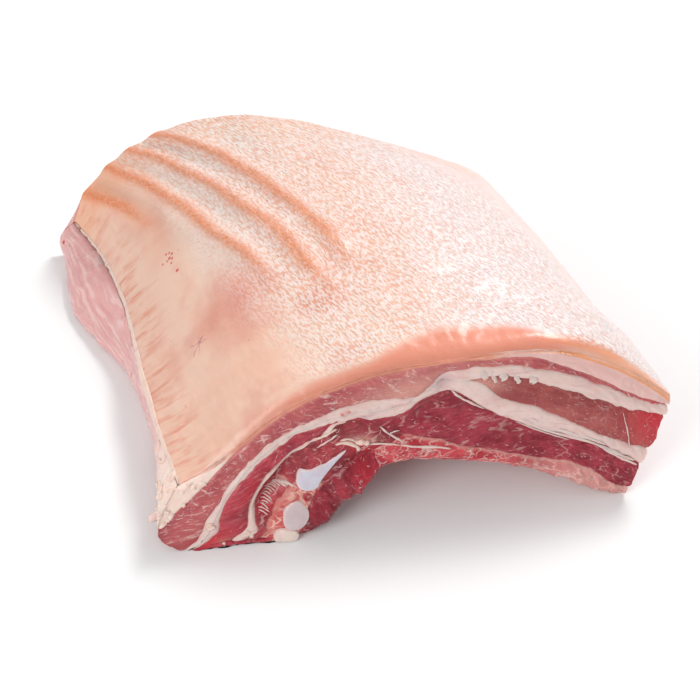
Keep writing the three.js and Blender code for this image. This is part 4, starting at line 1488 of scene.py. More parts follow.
    def relief(self, wiring: Wiring) -> Signal:
        """Returns ripples, pores and fine creases.

        Args:
            wiring: The material's tree.

        Returns:
            Ripples, pores and fine creases.
        """
        bend = wiring.painted("bend")
        lay = wiring.lay()
        rippled_and_sheen = self.rippled_and_sheen(wiring)
        fine = wiring.noise(lay, 1500, 3, 0.6)
        broad = wiring.noise(lay, 260, 3, 0.6)
        creases = wiring.noise(wiring.lay(14, (0.16, 1, 1)), 420, 3, 0.6)
        left = 1 - bend.step(0.3, 1.0)
        height = self.ripples(wiring) * (rippled_and_sheen * 2.0 + 0.1) + fine * 0.18 + broad * 0.35 + creases * left * 0.7
        under = wiring.painted("depth").step(1.1, 1.6)
        lumps = wiring.cells(wiring.warped(lay, 160, 0.004), 240, "SMOOTH_F1") + wiring.noise(lay, 120, 3)
        height = height + lumps * under * 1.6
        return wiring.bump(height, 0.0006)

    def dullness(self, wiring: Wiring) -> Signal:
        """Returns the rind's roughness, drier at the crests."""
        crest = wiring.painted("crest")
        return wiring.noise(wiring.lay(), 400) * 0.2 + crest * 0.1 + (self.shine - 0.1)


@dataclass(frozen=True)
class FatFinish(Finish):
    """White fat with pink veils and the odd grey sinew."""

    white: Colour = tone(234, 206, 198)
    pink: Colour = tone(222, 168, 162)
    # Grey of the sinews, also used as a painted shade in the hollow at the wedge's tip.
    sinew: Colour = tone(186, 146, 158)

    def colour(self, wiring: Wiring) -> Signal:
        """Returns the fat's colour.

        Args:
            wiring: The material's tree.

        Returns:
            The fat's colour.
        """
        lay = wiring.lay()
        veil = wiring.noise(wiring.lay(0, (0.45, 1, 1)), 190, 4, 0.65).step(0.48, 0.72)
        colour = wiring.mix(veil * 0.5, self.white, self.pink)
        lines = wiring.noise(wiring.warped(wiring.lay(0, (0.12, 1, 1)), 80, 0.003), 700, 3, 0.6)
        colour = wiring.mix(lines.step(0.54, 0.68) * 0.4, colour, tone(210, 160, 160))
        flecks = wiring.noise(lay, 900, 3, 0.6).step(0.62, 0.72)
        colour = wiring.mix(flecks * 0.3, colour, tone(214, 140, 128))
        colour = wiring.mix(wiring.painted("rim").step(0.9, 0.0) * 0.3, colour, self.pink)
        colour = wiring.mix(wiring.painted("pale") * 0.3, colour, tone(246, 228, 218))
        colour = wiring.mix(wiring.painted("stain"), colour, tone(200, 44, 40))
        # Grey sinew lines, and at the wedge's tip a painted shade in the hollow of the fork.
        return wiring.mix(wiring.painted("vein"), colour, self.sinew)

    def relief(self, wiring: Wiring) -> Signal:
        """Returns soft lumps with a fine grain.

        Args:
            wiring: The material's tree.

        Returns:
            Soft lumps with a fine grain.
        """
        lay = wiring.lay()
        lumps = wiring.cells(wiring.warped(lay, 200, 0.003), 330, "SMOOTH_F1")
        return wiring.bump(lumps * 0.7 + wiring.noise(lay, 1300) * 0.3, 0.0005)


@dataclass(frozen=True)
class LeanFinish(Finish):
    """Lean meat with fibre streaks, white marbling and wet flecks."""

    meat: Colour = tone(158, 74, 80)
    deep: Colour = tone(112, 38, 48)
    light: Colour = tone(206, 128, 124)
    bright: Colour = tone(200, 36, 56)
    faded: Colour = tone(226, 168, 154)
    fibre_turn: float = 0
    fibre: tuple[float, float, float] = (0.3, 1, 0.3)
    marbling: float = 0.5

    def colour(self, wiring: Wiring) -> Signal:
        """Returns the meat's colour.

        Args:
            wiring: The material's tree.

        Returns:
            The meat's colour.
        """
        lay = wiring.lay()
        grain = wiring.cut_lay(self.fibre_turn, self.fibre)
        patches = wiring.noise(lay, 75, 3, 0.6)
        colour = wiring.mix(patches.step(0.42, 0.62) * 0.8, self.meat, self.deep)
        fibres = wiring.noise(grain, 900, 4, 0.65)
        colour = wiring.mix(fibres.step(0.48, 0.7) * 0.5, colour, self.light)
        colour = wiring.mix(fibres.step(0.5, 0.3) * 0.4, colour, self.deep)
        colour = wiring.mix(wiring.painted("bright"), colour, self.bright)
        colour = wiring.mix(wiring.painted("dark") * 0.75, colour, self.deep)
        colour = wiring.mix(wiring.painted("pale") * 0.8, colour, self.faded)
        web = wiring.cells(wiring.warped(grain, 170, 0.006), 150, "DISTANCE_TO_EDGE")
        thread = web.step(0.05, 0.0) * wiring.noise(lay, 170, 3, 0.6).step(0.44, 0.62)
        colour = wiring.mix(thread * self.marbling, colour, tone(238, 204, 194))
        flecks = wiring.cells(
            wiring.warped(wiring.cut_lay(self.fibre_turn + 25, (0.35, 1, 1)), 200, 0.004), 330
        )
        sparse = wiring.noise(lay, 120, 2, 0.5).step(0.45, 0.6)
        colour = wiring.mix(flecks.step(0.16, 0.06) * sparse * self.marbling, colour, tone(240, 208, 200))
        return wiring.mix(wiring.painted("rim").step(0.9, 0.0) * 0.35, colour, self.light)

    def relief(self, wiring: Wiring) -> Signal:
        """Returns fibres and small wet lumps.

        Args:
            wiring: The material's tree.

        Returns:
            Fibres and small wet lumps.
        """
        grain = wiring.cut_lay(self.fibre_turn, self.fibre)
        fibres = wiring.noise(grain, 1100, 4, 0.65)
        lumps = wiring.noise(wiring.lay(), 330, 3, 0.6)
        return wiring.bump(fibres * 0.5 + lumps * 0.9, 0.0007)


@dataclass(frozen=True)
class LiningFinish(Finish):
    """Thin pink muscle under a net of white skin and fat."""

    meat: Colour = tone(184, 92, 92)
    deep: Colour = tone(150, 62, 68)
    net: Colour = tone(234, 194, 180)
    border: Colour = tone(226, 176, 166)
    cover: float = 0.5

    def colour(self, wiring: Wiring) -> Signal:
        """Returns the lining's colour.

        Args:
            wiring: The material's tree.

        Returns:
            The lining's colour.
        """
        lay = wiring.lay()
        colour = wiring.mix(wiring.noise(lay, 110, 4, 0.65).step(0.4, 0.65), self.meat, self.deep)
        web = wiring.cells(wiring.warped(wiring.lay(0, (0.6, 1, 0.8)), 220, 0.007), 190, "DISTANCE_TO_EDGE")
        broken = wiring.noise(lay, 100, 3, 0.6).step(0.36, 0.56)
        colour = wiring.mix(web.step(0.075, 0.01) * broken * 0.75, colour, self.net)
        patches = wiring.noise(wiring.lay(0, (0.5, 1, 0.8)), 170, 5, 0.7).step(0.62 - self.cover * 0.2, 0.66)
        colour = wiring.mix(patches * 0.7, colour, self.net)
        right = wiring.painted("bend").step(3.6, 5.2)
        colour = wiring.mix(right * 0.45, colour, self.net)
        colour = wiring.mix(wiring.painted("bright"), colour, tone(190, 60, 68))
        colour = wiring.mix(wiring.painted("pale") * 0.8, colour, tone(236, 206, 190))
        return wiring.mix(wiring.painted("rim").step(1.8, 0.0) * 0.65, colour, self.border)

    def relief(self, wiring: Wiring) -> Signal:
        """Returns a lumpy, netted surface.

        Args:
            wiring: The material's tree.

        Returns:
            A lumpy, netted surface.
        """
        lay = wiring.lay()
        web = wiring.cells(wiring.warped(lay, 150, 0.006), 200, "SMOOTH_F1")
        return wiring.bump(web * 0.8 + wiring.noise(lay, 900) * 0.4, 0.0008)


@dataclass(frozen=True)
class GristleFinish(Finish):
    """Bluish white gristle, glossy where it is cut."""

    blue: Colour = tone(212, 210, 222)
    grey: Colour = tone(212, 194, 196)
    cream: Colour = tone(238, 218, 206)
    edge: Colour = tone(232, 204, 198)

    def colour(self, wiring: Wiring) -> Signal:
        """Returns the gristle's colour: bluish, grey or cream, and pinker near its rim.

        Args:
            wiring: The material's tree.

        Returns:
            The gristle's colour: bluish, grey or cream, and pinker near its rim.
        """
        place = wiring.node("ShaderNodeTexCoord")
        spot = Signal(wiring, place.outputs["Object"])
        tint = wiring.painted("tint")
        colour = wiring.mix(tint.step(0.0, 0.5), self.blue, self.grey)
        colour = wiring.mix(tint.step(0.5, 1.0), colour, self.cream)
        colour = wiring.mix(wiring.noise(spot, 260, 3).step(0.35, 0.7) * 0.35, colour, tone(200, 176, 184))
        return wiring.mix(wiring.painted("rim").step(1.2, 0.1) * 0.6, colour, self.edge)

    def relief(self, wiring: Wiring) -> Signal:
        """Returns a barely uneven surface."""
        place = wiring.node("ShaderNodeTexCoord")
        return wiring.bump(wiring.noise(Signal(wiring, place.outputs["Object"]), 320, 2), 0.0004)

    def dullness(self, wiring: Wiring) -> Signal:
        """Returns an even, low roughness."""
        place = wiring.node("ShaderNodeTexCoord")
        return wiring.noise(Signal(wiring, place.outputs["Object"]), 300) * 0.1 + (self.shine - 0.05)


@dataclass(frozen=True)
class BitFinish(Finish):
    """Small bits of one stuff, each a little lighter or darker than the next."""

    light: Colour = tone(236, 202, 196)
    dark: Colour = tone(216, 150, 146)

    def spot(self, wiring: Wiring) -> Signal:
        """Returns the place on the piece."""
        return Signal(wiring, wiring.node("ShaderNodeTexCoord").outputs["Object"])

    def colour(self, wiring: Wiring) -> Signal:
        """Returns the bits' colour."""
        return wiring.mix(wiring.noise(self.spot(wiring), 420, 3).step(0.35, 0.65), self.light, self.dark)

    def relief(self, wiring: Wiring) -> Signal:
        """Returns a fine grain."""
        return wiring.bump(wiring.noise(self.spot(wiring), 1800, 2), 0.0002)

    def dullness(self, wiring: Wiring) -> Signal:
        """Returns an uneven roughness."""
        return wiring.noise(self.spot(wiring), 500) * 0.2 + (self.shine - 0.1)


# ---- The pieces -----------------------------------------------------------


def finished(
    name: str, mesh: bpy.types.Mesh, material: bpy.types.Material, slot: str, *nodes: str
) -> bpy.types.Object:
    """Makes a mesh a piece that rides on the slab and stands for its nodes.

    Args:
        name: The piece's name.
        mesh: Its mesh, in place.
        material: Its finish.
        slot: Not used.
        nodes: Nodes of the solid model that it stands for.

    Returns:
        The piece.
    """
    piece = bpy.data.objects.new(name, mesh)
    bpy.context.scene.collection.objects.link(piece)
    mesh.materials.clear()
    mesh.materials.append(material)
    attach(piece, "root")
    if nodes:
        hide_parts(*nodes)
    log.info("%s: %d faces", name, len(mesh.polygons))
    return piece


@dataclass
class RindCap:
    """The rind with the fat right under it."""

    maker: LayerMaker
    borders: dict[str, Border]
    fold_height: float = 2.6
    fold_width: float = 0.15
    step: float = 0.72
    run_cells: int = 190

    def crests(self, u: Array, v: Array) -> Array:
        """Returns how near each point is to a fold's crest, 0 to 1.

        Args:
            u: Places along the bend.
            v: Places along the slab.

        Returns:
            How near each point is to a fold's crest, 0 to 1.
        """
        wander = 0.05 * Grain.single(points(v * 9, u * 2, 0.3), 31)
        folds = self.maker.form.folds
        near = [hump((fold.distance(u, v) + wander) / 0.1) * fold.strength(v) for fold in folds]
        return np.max(near, axis=0)

    def lift(self, u: Array, v: Array) -> Array:
        """Returns the relief of the rind: folds, crumbly crests, ripples, lumps and soft swells.

        Args:
            u: Places along the bend.
            v: Places along the slab.

        Returns:
            The relief of the rind: folds, crumbly crests, ripples, lumps and soft swells.
        """
        rise = 0 * u
        for fold in self.maker.form.folds:
            rise = rise + self.fold_height * fold.strength(v) * hump(fold.distance(u, v) / self.fold_width)
        spot = points(u * STRETCH_MM, v * RUN_MM, 0)
        inside = ease((1 - v) / 0.06)
        rise = rise + self.crests(u, v) * inside * (0.4 + 0.7 * Grain.layered(spot / 2.6, 71, 2))
        rise = rise + 0.9 * Grain.layered(spot / np.array([26, 30, 1]), 73, 2)
        rise = rise + 0.2 * inside * Grain.layered(spot / np.array([3.2, 6.5, 1]), 75, 3)
        roll = (4.2 * (1 - np.exp(-v / 0.026)) * np.exp(-v / 0.22)
                * ease(u / 0.9) * ease((STRETCHES - u) / 1.4))
        for at, run in ((2.52, 0.26), (2.22, 0.31), (2.36, 0.24)):
            rise = rise + 0.8 * hump((u - at) / 0.12) * hump((v - run) / 0.02)
        creases = Grain.layered(points(u * STRETCH_MM / 22, v * RUN_MM / 3.4, 0.5), 77, 3)
        rise = rise + roll + 0.4 * creases * (1 - ease((u - 0.2) / 1.1)) * ease(u / 0.1 + 0.3)
        return rise

    def build(self, material: bpy.types.Material) -> bpy.types.Object:
        """Makes the piece.

        Args:
            material: The rind's finish.

        Returns:
            The piece.
        """
        shell = Shell()
        us = self.maker.stations(0, STRETCHES, self.step)
        vs = self.maker.runs(self.run_cells)
        self.maker.shell(
            shell, self.borders["rind"], self.borders["cap"], us, vs, 14, outer=(True, False), height=0.4,
            grain=0.18, seed=2, lift=self.lift, stride=(8, 8),
        )
        bend, run = shell.fields["bend"][0], shell.fields["run"][0]
        shell.fields["crest"] = [self.crests(bend, run)]
        return finished("rind_cap", shell.mesh("rind_cap"), material, "rind", "rind_fat_cap")


@dataclass(frozen=True)
class LayerPlan:
    """What one meat layer between two borders needs."""

    name: str
    top: str
    base: str
    start: float
    end: float
    ends: tuple[End, End]
    slot: str
    finish: str
    node: str
    cells: int = 18
    height: float = 0.7
    grain: float = 0.3
    seed: int = 1


@dataclass
class MeatLayers:
    """The layers of lean and fat between the rind and the underside."""

    maker: LayerMaker
    borders: dict[str, Border]
    step: float = 1.0
    run_cells: int = 44

    PLANS = (
        LayerPlan("outer_lean", "cap", "lean_outer", 0, 5.85, (End.CUT, End.TAPER), "lean_brown", "outer",
                  "lean_outer", 16, 0.5, 0.28, 4),
        LayerPlan("wedge_lean", "wedge_top", "wedge_base", WEDGE_TIP, 6, (End.TAPER, End.CUT), "lean_brown",
                  "brown", "lean_wedge", 16, 0.5, 0.2, 6),
        LayerPlan("left_lean", "fat_band", "lean_left", 0, 2.05, (End.CUT, End.TAPER), "lean_red", "red",
                  "lean_left", 12, 0.9, 0.3, 8),
        LayerPlan("left_fat_strip", "lean_left", "fat_strip", 0, 2.1, (End.CUT, End.TAPER), "fat", "fat",
                  "fat_strip", 6, 1.3, 0.4, 10),
        LayerPlan("inner_lean", "fat_band", "lean_inner", 2.16, 6, (End.TAPER, End.CUT), "lean_dark", "dark",
                  "lean_inner", 20, 0.6, 0.4, 12),
        LayerPlan("rib_lean", "rib_top", "rib_base", 0, 2.74, (End.CUT, End.TAPER), "lean_brown", "rib",
                  "lean_rib", 16, 0.5, 0.4, 14),
        LayerPlan("rib_bed_meat", "rib_base", "roll_top", 0, 1.44, (End.CUT, End.TAPER), "lining", "bed",
                  "rib_bed", 14, 0.6, 0.5, 16),
    )

    def build(self, materials: dict[str, bpy.types.Material]) -> None:
        """Makes every layer.

        Args:
            materials: The finishes by name.
        """
        vs = self.maker.runs(self.run_cells)
        for plan in self.PLANS:
            shell = Shell()
            us = self.maker.stations(plan.start, plan.end, self.step)
            self.maker.shell(
                shell, self.borders[plan.top], self.borders[plan.base], us, vs, plan.cells, ends=plan.ends,
                height=plan.height, grain=plan.grain, seed=plan.seed,
            )
            finished(plan.name, shell.mesh(plan.name), materials[plan.finish], plan.slot, plan.node)
        self._fat_band(materials["fat"], vs)
        self._roll(materials["roll"], vs)
        self._lining(materials["lining"], vs)

    def _fat_band(self, material: bpy.types.Material, vs: Array) -> None:
        """Makes the white band, which forks at the tip of the wedge.

        Args:
            material: The finish.
            vs: Places along the slab.
        """
        outer, base = self.borders["lean_outer"], self.borders["fat_band"]
        top, low = self.borders["wedge_top"], self.borders["wedge_base"]

        def middle(u: Array, v: Array) -> Array:
            """Returns the depth halfway through the wedge."""
            return (top(u, v) + low(u, v)) / 2

        def halfway(u: Array, v: Array) -> Array:
            """Returns the depth at which the band's halves meet."""
            return mix((outer(u, v) + base(u, v)) / 2, middle(u, v), ease((u - 2.6) / 0.8))

        def far(u: Array, e: Array, v: Array, thick: Array) -> Array:
            """Returns the distance to the wedge.

            Args:
                u: Places along the bend.
                e: Depths from the rind to the underside, 0 to 1.
                v: Places along the slab.
                thick: The slab's thickness in millimetres.

            Returns:
                The distance to the wedge.
            """
            before = np.hypot((WEDGE_TIP - u) * STRETCH_MM, (e - middle(u, v)) * thick)
            beside = np.maximum(top(u, v) - e, e - low(u, v)) * thick
            return np.where(u <= WEDGE_TIP, before, beside)

        shell = Shell()
        left = self.maker.stations(0, WEDGE_TIP, self.step)
        right = self.maker.stations(WEDGE_TIP, STRETCHES, self.step)
        before, past = (End.CUT, End.OPEN), (End.OPEN, End.CUT)
        parts = (
            (outer, halfway, left, before, (False, True), (False, False)),
            (halfway, base, left, before, (True, False), (False, False)),
            (outer, top, right, past, (False, False), (False, True)),
            (low, base, right, past, (False, False), (True, False)),
        )
        for first, second, us, ends, joined, fading in parts:
            self.maker.shell(
                shell, first, second, us, vs, 8, ends=ends, joined=joined, fading=fading,
                height=0.9, grain=0.35, seed=20, spread=far,
            )
        finished("white_band", shell.mesh("white_band"), material, "fat", "fat_band")

    def _roll(self, material: bpy.types.Material, vs: Array) -> None:
        """Makes the loose roll of meat at the rib ends.

        Args:
            material: The finish.
            vs: Not used.
        """
        shell = Shell()
        end = 2.34
        us = self.maker.stations(0.12, end, 0.9)

        def far(u: Array, e: Array, v: Array, thick: Array) -> Array:
            """Returns the distance to the lining."""
            return (end - u) * STRETCH_MM

        self.maker.shell(
            shell, self.borders["roll_top"], self.borders["under"], us, self.maker.runs(44), 16,
            ends=(End.TAPER, End.TAPER), outer=(False, True), height=1.2, grain=0.6, seed=24, spread=far,
            lift=lambda u, v: 0.8 * Grain.layered(points(u * 4, v * 16, 0.2), 91, 3) - 0.4,
        )
        finished("meat_roll_lobe", shell.mesh("meat_roll_lobe"), material, "lean_red", "meat_roll")

    def _lining(self, material: bpy.types.Material, vs: Array) -> None:
        """Makes the netted lining of the underside.

        Args:
            material: The finish.
            vs: Not used.
        """
        shell = Shell()
        start = 2.3
        us = self.maker.stations(start, STRETCHES, 1.1)

        def far(u: Array, e: Array, v: Array, thick: Array) -> Array:
            """Returns the distance to the roll."""
            return (u - start) * STRETCH_MM

        self.maker.shell(
            shell, self.borders["lining_top"], self.borders["under"], us, self.maker.runs(60), 16,
            ends=(End.TAPER, End.CUT), outer=(False, True), height=0.6, grain=0.5, seed=26, spread=far,
            lift=lambda u, v: 0.7 * Grain.layered(points(u * 5, v * 22, 0.2), 93, 3) - 0.3,
        )
        finished("net_lining", shell.mesh("net_lining"), material, "lining", "rib_lining")


@dataclass
class GristleRods:
    """The rods of gristle that run through the rib side."""

    form: SlabForm
    sides: int = 48
    ground: float = 0.5

    RODS = (
        ("gristle_drop", "gristle_upper", (1.22, 0.615), (6.5, 5.5), 38, 16, 0.5, 0.0),
        ("gristle_oval", "gristle_middle", (0.68, 0.775), (7.2, 5.8), 62, 0, 0.6, 0.5),
        ("gristle_low", "gristle_lower", (0.27, 0.9), (6, 5), 20, 0, 1.2, 1.0),
    )
    CAP = ((1, 0), (0.985, 0.3), (0.95, 0.6), (0.87, 0.85), (0.7, 1), (0.45, 1.1), (0.2, 1.12), (0.02, 1.12))

    def build(self, material: bpy.types.Material) -> None:
        """Makes the rods.

        Args:
            material: The gristle's finish.
        """
        for name, node, at, half, turn, tail, out, tint in self.RODS:
            shell = Shell()
            self._rod(shell, at, self._outline(at, half, math.radians(turn), tail), min(half), out, tint)
            finished(name, shell.mesh(name), material, "gristle", node)

    def _outline(
        self, at: tuple[float, float], half: tuple[float, float], angle: float, tail: float
    ) -> Array:
        """Returns a rod's section: an oval, or a drop with its tail along the angle.

        Args:
            at: The rod's place.
            half: Half sizes of the oval.
            angle: Turn of the section.
            tail: Length of the tail.

        Returns:
            Points round the section.
        """
        swing = np.arange(self.sides) * 2 * np.pi / self.sides
        ahead = np.maximum(0, np.cos(swing))
        a = half[0] * np.cos(swing) + tail * ahead**3
        b = half[1] * np.sin(swing) * (1 - (0.75 * ahead if tail else 0))
        wobble = 1 + 0.03 * np.sin(3 * swing + at[0] * 9) + 0.02 * np.sin(5 * swing)
        turned = points(a * np.cos(angle) - b * np.sin(angle), a * np.sin(angle) + b * np.cos(angle))
        return turned * wobble[:, None]

    def _rod(
        self, shell: Shell, at: tuple[float, float], outline: Array, half: float, out: float, tint: float
    ) -> None:
        """Adds one rod, with a softly domed cut at both ends.

        Args:
            shell: What the rod is added to.
            at: The rod's place along the bend and in depth.
            outline: Points round its section.
            half: Its smaller half size.
            out: How far its cut stands out.
            tint: Its colour, from bluish at 0 to cream at 1.
        """
        rings: list[tuple[float, float, float]] = [
            (0, share, rise * out) for share, rise in reversed(self.CAP)
        ]
        rings += [(v, 1, 0) for v in np.linspace(0, 1, 29)[1:-1]]
        rings += [(1, share, rise * 0.6) for share, rise in self.CAP]
        places, rims = [], []
        one = np.ones(self.sides)
        for v, share, rise in rings:
            vv = v * one
            e = self.form.shifted(at[0] * one, at[1] * one, vv)
            flat = self.form.flat(at[0] * one, e, vv) + outline * share
            flat[:, 1] = np.maximum(flat[:, 1], self.ground)
            along, up, corner, _ = self.form._axes(vv)
            place = corner + along * flat[:, :1] + up * flat[:, 1:] - np.array([*self.form.centre, 0])
            if v in (0, 1):
                step = FRONT_SLICE if v == 0 else -BACK_SLICE
                here = self.form.plain(np.array([at[0]]), np.array([at[1]]), np.array([float(v)]))
                there = self.form.plain(np.array([at[0]]), np.array([at[1]]), np.array([v + step]))
                bulge = self._relief(flat) if v == 0 else 1.1 * one
                place = place + unit(here - there) * (rise + bulge)[:, None]
            places.append(place)
            rims.append(one * (1 - share) * half if v in (0, 1) else one * 0)
        grid = np.arange(len(rings) * self.sides).reshape(len(rings), self.sides)
        grid = np.concatenate([grid, grid[:, :1]], axis=1)
        faces = np.stack([grid[:-1, :-1], grid[1:, :-1], grid[1:, 1:], grid[:-1, 1:]], axis=-1).reshape(-1, 4)
        caps = [grid[0, :-1].tolist(), grid[-1, :-1][::-1].tolist()]
        fields = {"rim": np.concatenate(rims), "tint": np.full(len(rings) * self.sides, tint)}
        shell.add(np.concatenate(places), faces.tolist() + caps, fields)

    def _relief(self, flat: Array) -> Array:
        """Returns the height of the front cut's relief round a rod."""
        return sum(bump.over(flat) for bump in FRONT_RELIEF) + 0.9


class FrontCut:
    """The front cut as a surface to lay scraps on, by places in the cut's plane."""

    def __init__(self, form: SlabForm) -> None:
        """Keeps the form and which way the cut faces at each place.

        Args:
            form: The form of the slab.
        """
        self.form = form
        u, e = np.meshgrid(np.linspace(0, STRETCHES, 241), np.linspace(0, 1, 61), indexing="ij")
        u, e = u.ravel(), e.ravel()
        front = form.plain(u, e, 0 * u)
        self.flats = form.flat(u, form.shifted(u, e, 0 * u), 0 * u)
        self.away = unit(front - form.plain(u, e, 0 * u + FRONT_SLICE))

    def place(self, flat: Array, out: Array | float) -> tuple[Array, Array]:
        """Returns points on the cut and the way it faces there.

        Args:
            flat: Places in the cut's plane.
            out: How far in front of the cut's relief.

        Returns:
            The points and the directions.
        """
        along, up, corner, _ = self.form._axes(np.zeros(len(flat)))
        near = np.argmin(np.linalg.norm(self.flats[None] - flat[:, None], axis=-1), axis=1)
        away = self.away[near]
        rise = sum(bump.over(flat) for bump in FRONT_RELIEF) + 0.55 + out
        place = corner + along * flat[:, :1] + up * flat[:, 1:] - np.array([*self.form.centre, 0])
        return place + away * rise[:, None], away


@dataclass(frozen=True)
class Strand:
    """A thin strand or scrap on the front cut: its path, half width, half height and whether it is a ring."""

    path: tuple[tuple[float, float], ...]
    wide: float
    high: float
    ring: bool = False


@dataclass
class Scraps:
    """Strands of sinew, scraps of skin and fat, and the cut vessel on the front cut."""

    cut: FrontCut
    sides: int = 8
    steps: int = 22

    FASCIA = (
        Strand(((85.5, 55.3), (89.3, 51.0), (96.5, 45.0)), 0.55, 0.4),
        Strand(((94.3, 52.1), (91.5, 51.8), (89.3, 51.0)), 0.4, 0.3),
        Strand(((94.8, 43.8), (102.5, 42.0), (110.2, 40.9), (118, 38.8)), 0.8, 0.5),
        Strand(((80, 46.5), (87, 45.8), (94.8, 43.8)), 0.6, 0.4),
        Strand(((189.3, 28.7), (198.1, 22.5), (205.8, 17.5)), 0.8, 0.6),
        Strand(((186, 31.5), (196, 25.2), (204.5, 20)), 0.9, 0.45),
        Strand(((149.9, 50.9), (164.7, 41.1), (181.9, 33.7), (198.9, 24.5)), 0.8, 0.3),
        Strand(((152, 52), (166, 43.2), (180, 36.8), (192, 30)), 0.9, 0.3),
        Strand(((148, 49), (160, 42), (174, 35.2)), 0.35, 0.3),
        Strand(((119, 70), (122, 66.5), (128, 62), (134, 58)), 0.6, 0.4),
        Strand(((198.5, 48), (200.6, 37), (202.1, 26.9)), 0.3, 0.2),
        Strand(((56, 47), (62, 51.2), (66, 53.8)), 0.5, 0.4),
    )
    CREAM = (
        Strand(((55.8, 51.7), (60.7, 54.0), (65.6, 56.9)), 0.8, 0.6),
        Strand(((64.4, 48.5), (69.4, 48.9), (74.2, 46.1), (75.3, 43.2)), 1.0, 0.9),
        Strand(((66.5, 50.3), (71, 50.6), (75, 48.2)), 0.6, 0.6),
        Strand(((73.6, 48.4), (77, 48.1), (80.4, 46.8)), 1.7, 1.2),
        Strand(((6.4, 1.6), (8.8, 1.3), (12.4, 1.2)), 1.2, 0.9),
        Strand(((20.6, 6.8), (22.4, 4.8), (23.4, 2.6)), 1.1, 0.9),
        Strand(((3.4, 15.2), (4.6, 12.8), (5.4, 10.6)), 2.0, 0.9),
    )
    TRIM = (
        Strand(((3.5, 1.9), (9, 1.5), (15, 1.4)), 1.1, 1.3),
        Strand(((12, 1.5), (19, 1.2), (26, 1.4)), 0.9, 1.2),
        Strand(((23, 1.4), (28, 1.2), (32.5, 1.5)), 0.8, 1.2),
    )
    VESSEL = (Strand(((51.5, 22), (50, 23.7), (48.4, 22), (50, 20.3)), 0.55, 0.7, True),)

    def build(self, white: bpy.types.Material, cream: bpy.types.Material, pink: bpy.types.Material) -> None:
        """Makes the pieces.

        Args:
            white: Finish of the sinews.
            cream: Finish of the scraps of fat.
            pink: Finish of the vessel.
        """
        self._piece("fascia_lines", self.FASCIA + self._fingers() + self._comb(), white, "fat")
        self._piece("fat_scraps", self.CREAM, cream, "fat")
        self._piece("vessel_end", self.VESSEL, pink, "lining")
        shell = Shell()
        form = self.cut.form
        root = form.plain(np.array([0.0]), np.array([0.3]), np.array([0.05]))[0]
        far = np.linspace(0, 1, self.steps)
        centres = root + points(3 - 8.5 * far, -1.2 * far, 1.6 * np.sin(5 * far) - 2.2 * far)
        faces_up = unit(points(0.3 + 0 * far, -0.6, 0.75 + 0.2 * np.sin(9 * far)))
        self._tube(shell, centres, faces_up, 2.0, 0.45, False, points(far * 8, 0, 0))
        finished("membrane_scrap", shell.mesh("membrane_scrap"), white, "fat")
        self._piece("trim_scraps", self.TRIM, pink, "lean_red")
        self._lip(cream)

    def _lip(self, material: bpy.types.Material) -> None:
        """Makes the thin raised lip along the rind's left edge.

        Args:
            material: The finish.
        """
        data = bpy.data.objects["rind_cap"].data
        count = len(data.vertices)
        read = {title: np.zeros(count, np.float32) for title in ("bend", "run", "depth")}
        for title, values in read.items():
            data.attributes[title].data.foreach_get("value", values)
        places = np.zeros(count * 3, np.float32)
        data.vertices.foreach_get("co", places)
        edge = np.flatnonzero((read["bend"] < 1e-3) & (np.abs(read["depth"]) < 0.2))
        edge = edge[np.argsort(read["run"][edge])]
        centres = places.reshape(-1, 3)[edge].astype(float) / MILLI
        run = read["run"][edge].astype(float)
        even = np.linspace(0.0, 1.0, 150)
        centres = points(*(np.interp(even, run, centres[:, axis]) for axis in range(3)))
        shell = Shell()
        away = np.tile(np.array([-0.8, 0, 0.6]), (len(even), 1))
        spot = points(even * 60, 0, 3)
        stray = points(*(Grain.single(spot, seed) for seed in (81, 82, 83)))
        centres = centres + (-0.35, 0, -0.45) + 0.3 * stray
        self._tube(shell, centres, away, 1.8, 0.5, False, points(0, 0, even * RUN_MM))
        finished("rind_lip", shell.mesh("rind_lip"), material, "fat")

    def _fingers(self) -> tuple[Strand, ...]:
        """Returns the short white fingers that reach into the wedge's left end.

        Returns:
            The short white fingers that reach into the wedge's left end.
        """
        roots = ((134, 76.4), (138.2, 75.6), (143, 74.6), (149, 73), (156.4, 70.9))
        reach = (3.4, 5.6, 3.0, 4.6, 2.6)
        return tuple(
            Strand(((x - 0.7, y + 2), (x + 0.4, y - 0.3 * long), (x + 1.3, y - 0.7 * long)), wide, 0.18)
            for (x, y), long, wide in zip(roots, reach, (1.7, 1.0, 2.0, 1.2, 1.8))
        )

    def _comb(self) -> tuple[Strand, ...]:
        """Returns the comb of fibres beside the rib's gristle.

        Returns:
            The comb of fibres beside the rib's gristle.
        """
        x = SmoothCurve([(0, 29.6), (0.33, 32.6), (0.66, 37.2), (1, 43.5)])
        y = SmoothCurve([(0, 14.5), (0.33, 21), (0.66, 25.8), (1, 27.8)])
        strands = []
        for i in range(17):
            at = i / 16
            mid = np.array([float(x(np.array(at))), float(y(np.array(at)))])
            lean = math.radians(-24 + 14 * at + 9 * math.sin(i * 2.3))
            step = np.array([math.cos(lean), math.sin(lean)]) * (1.9 + 0.5 * math.sin(i * 1.7))
            strands.append(Strand((tuple(mid - step), tuple(mid + (0, 0.25)), tuple(mid + step)), 0.34, 0.32))
        return tuple(strands)

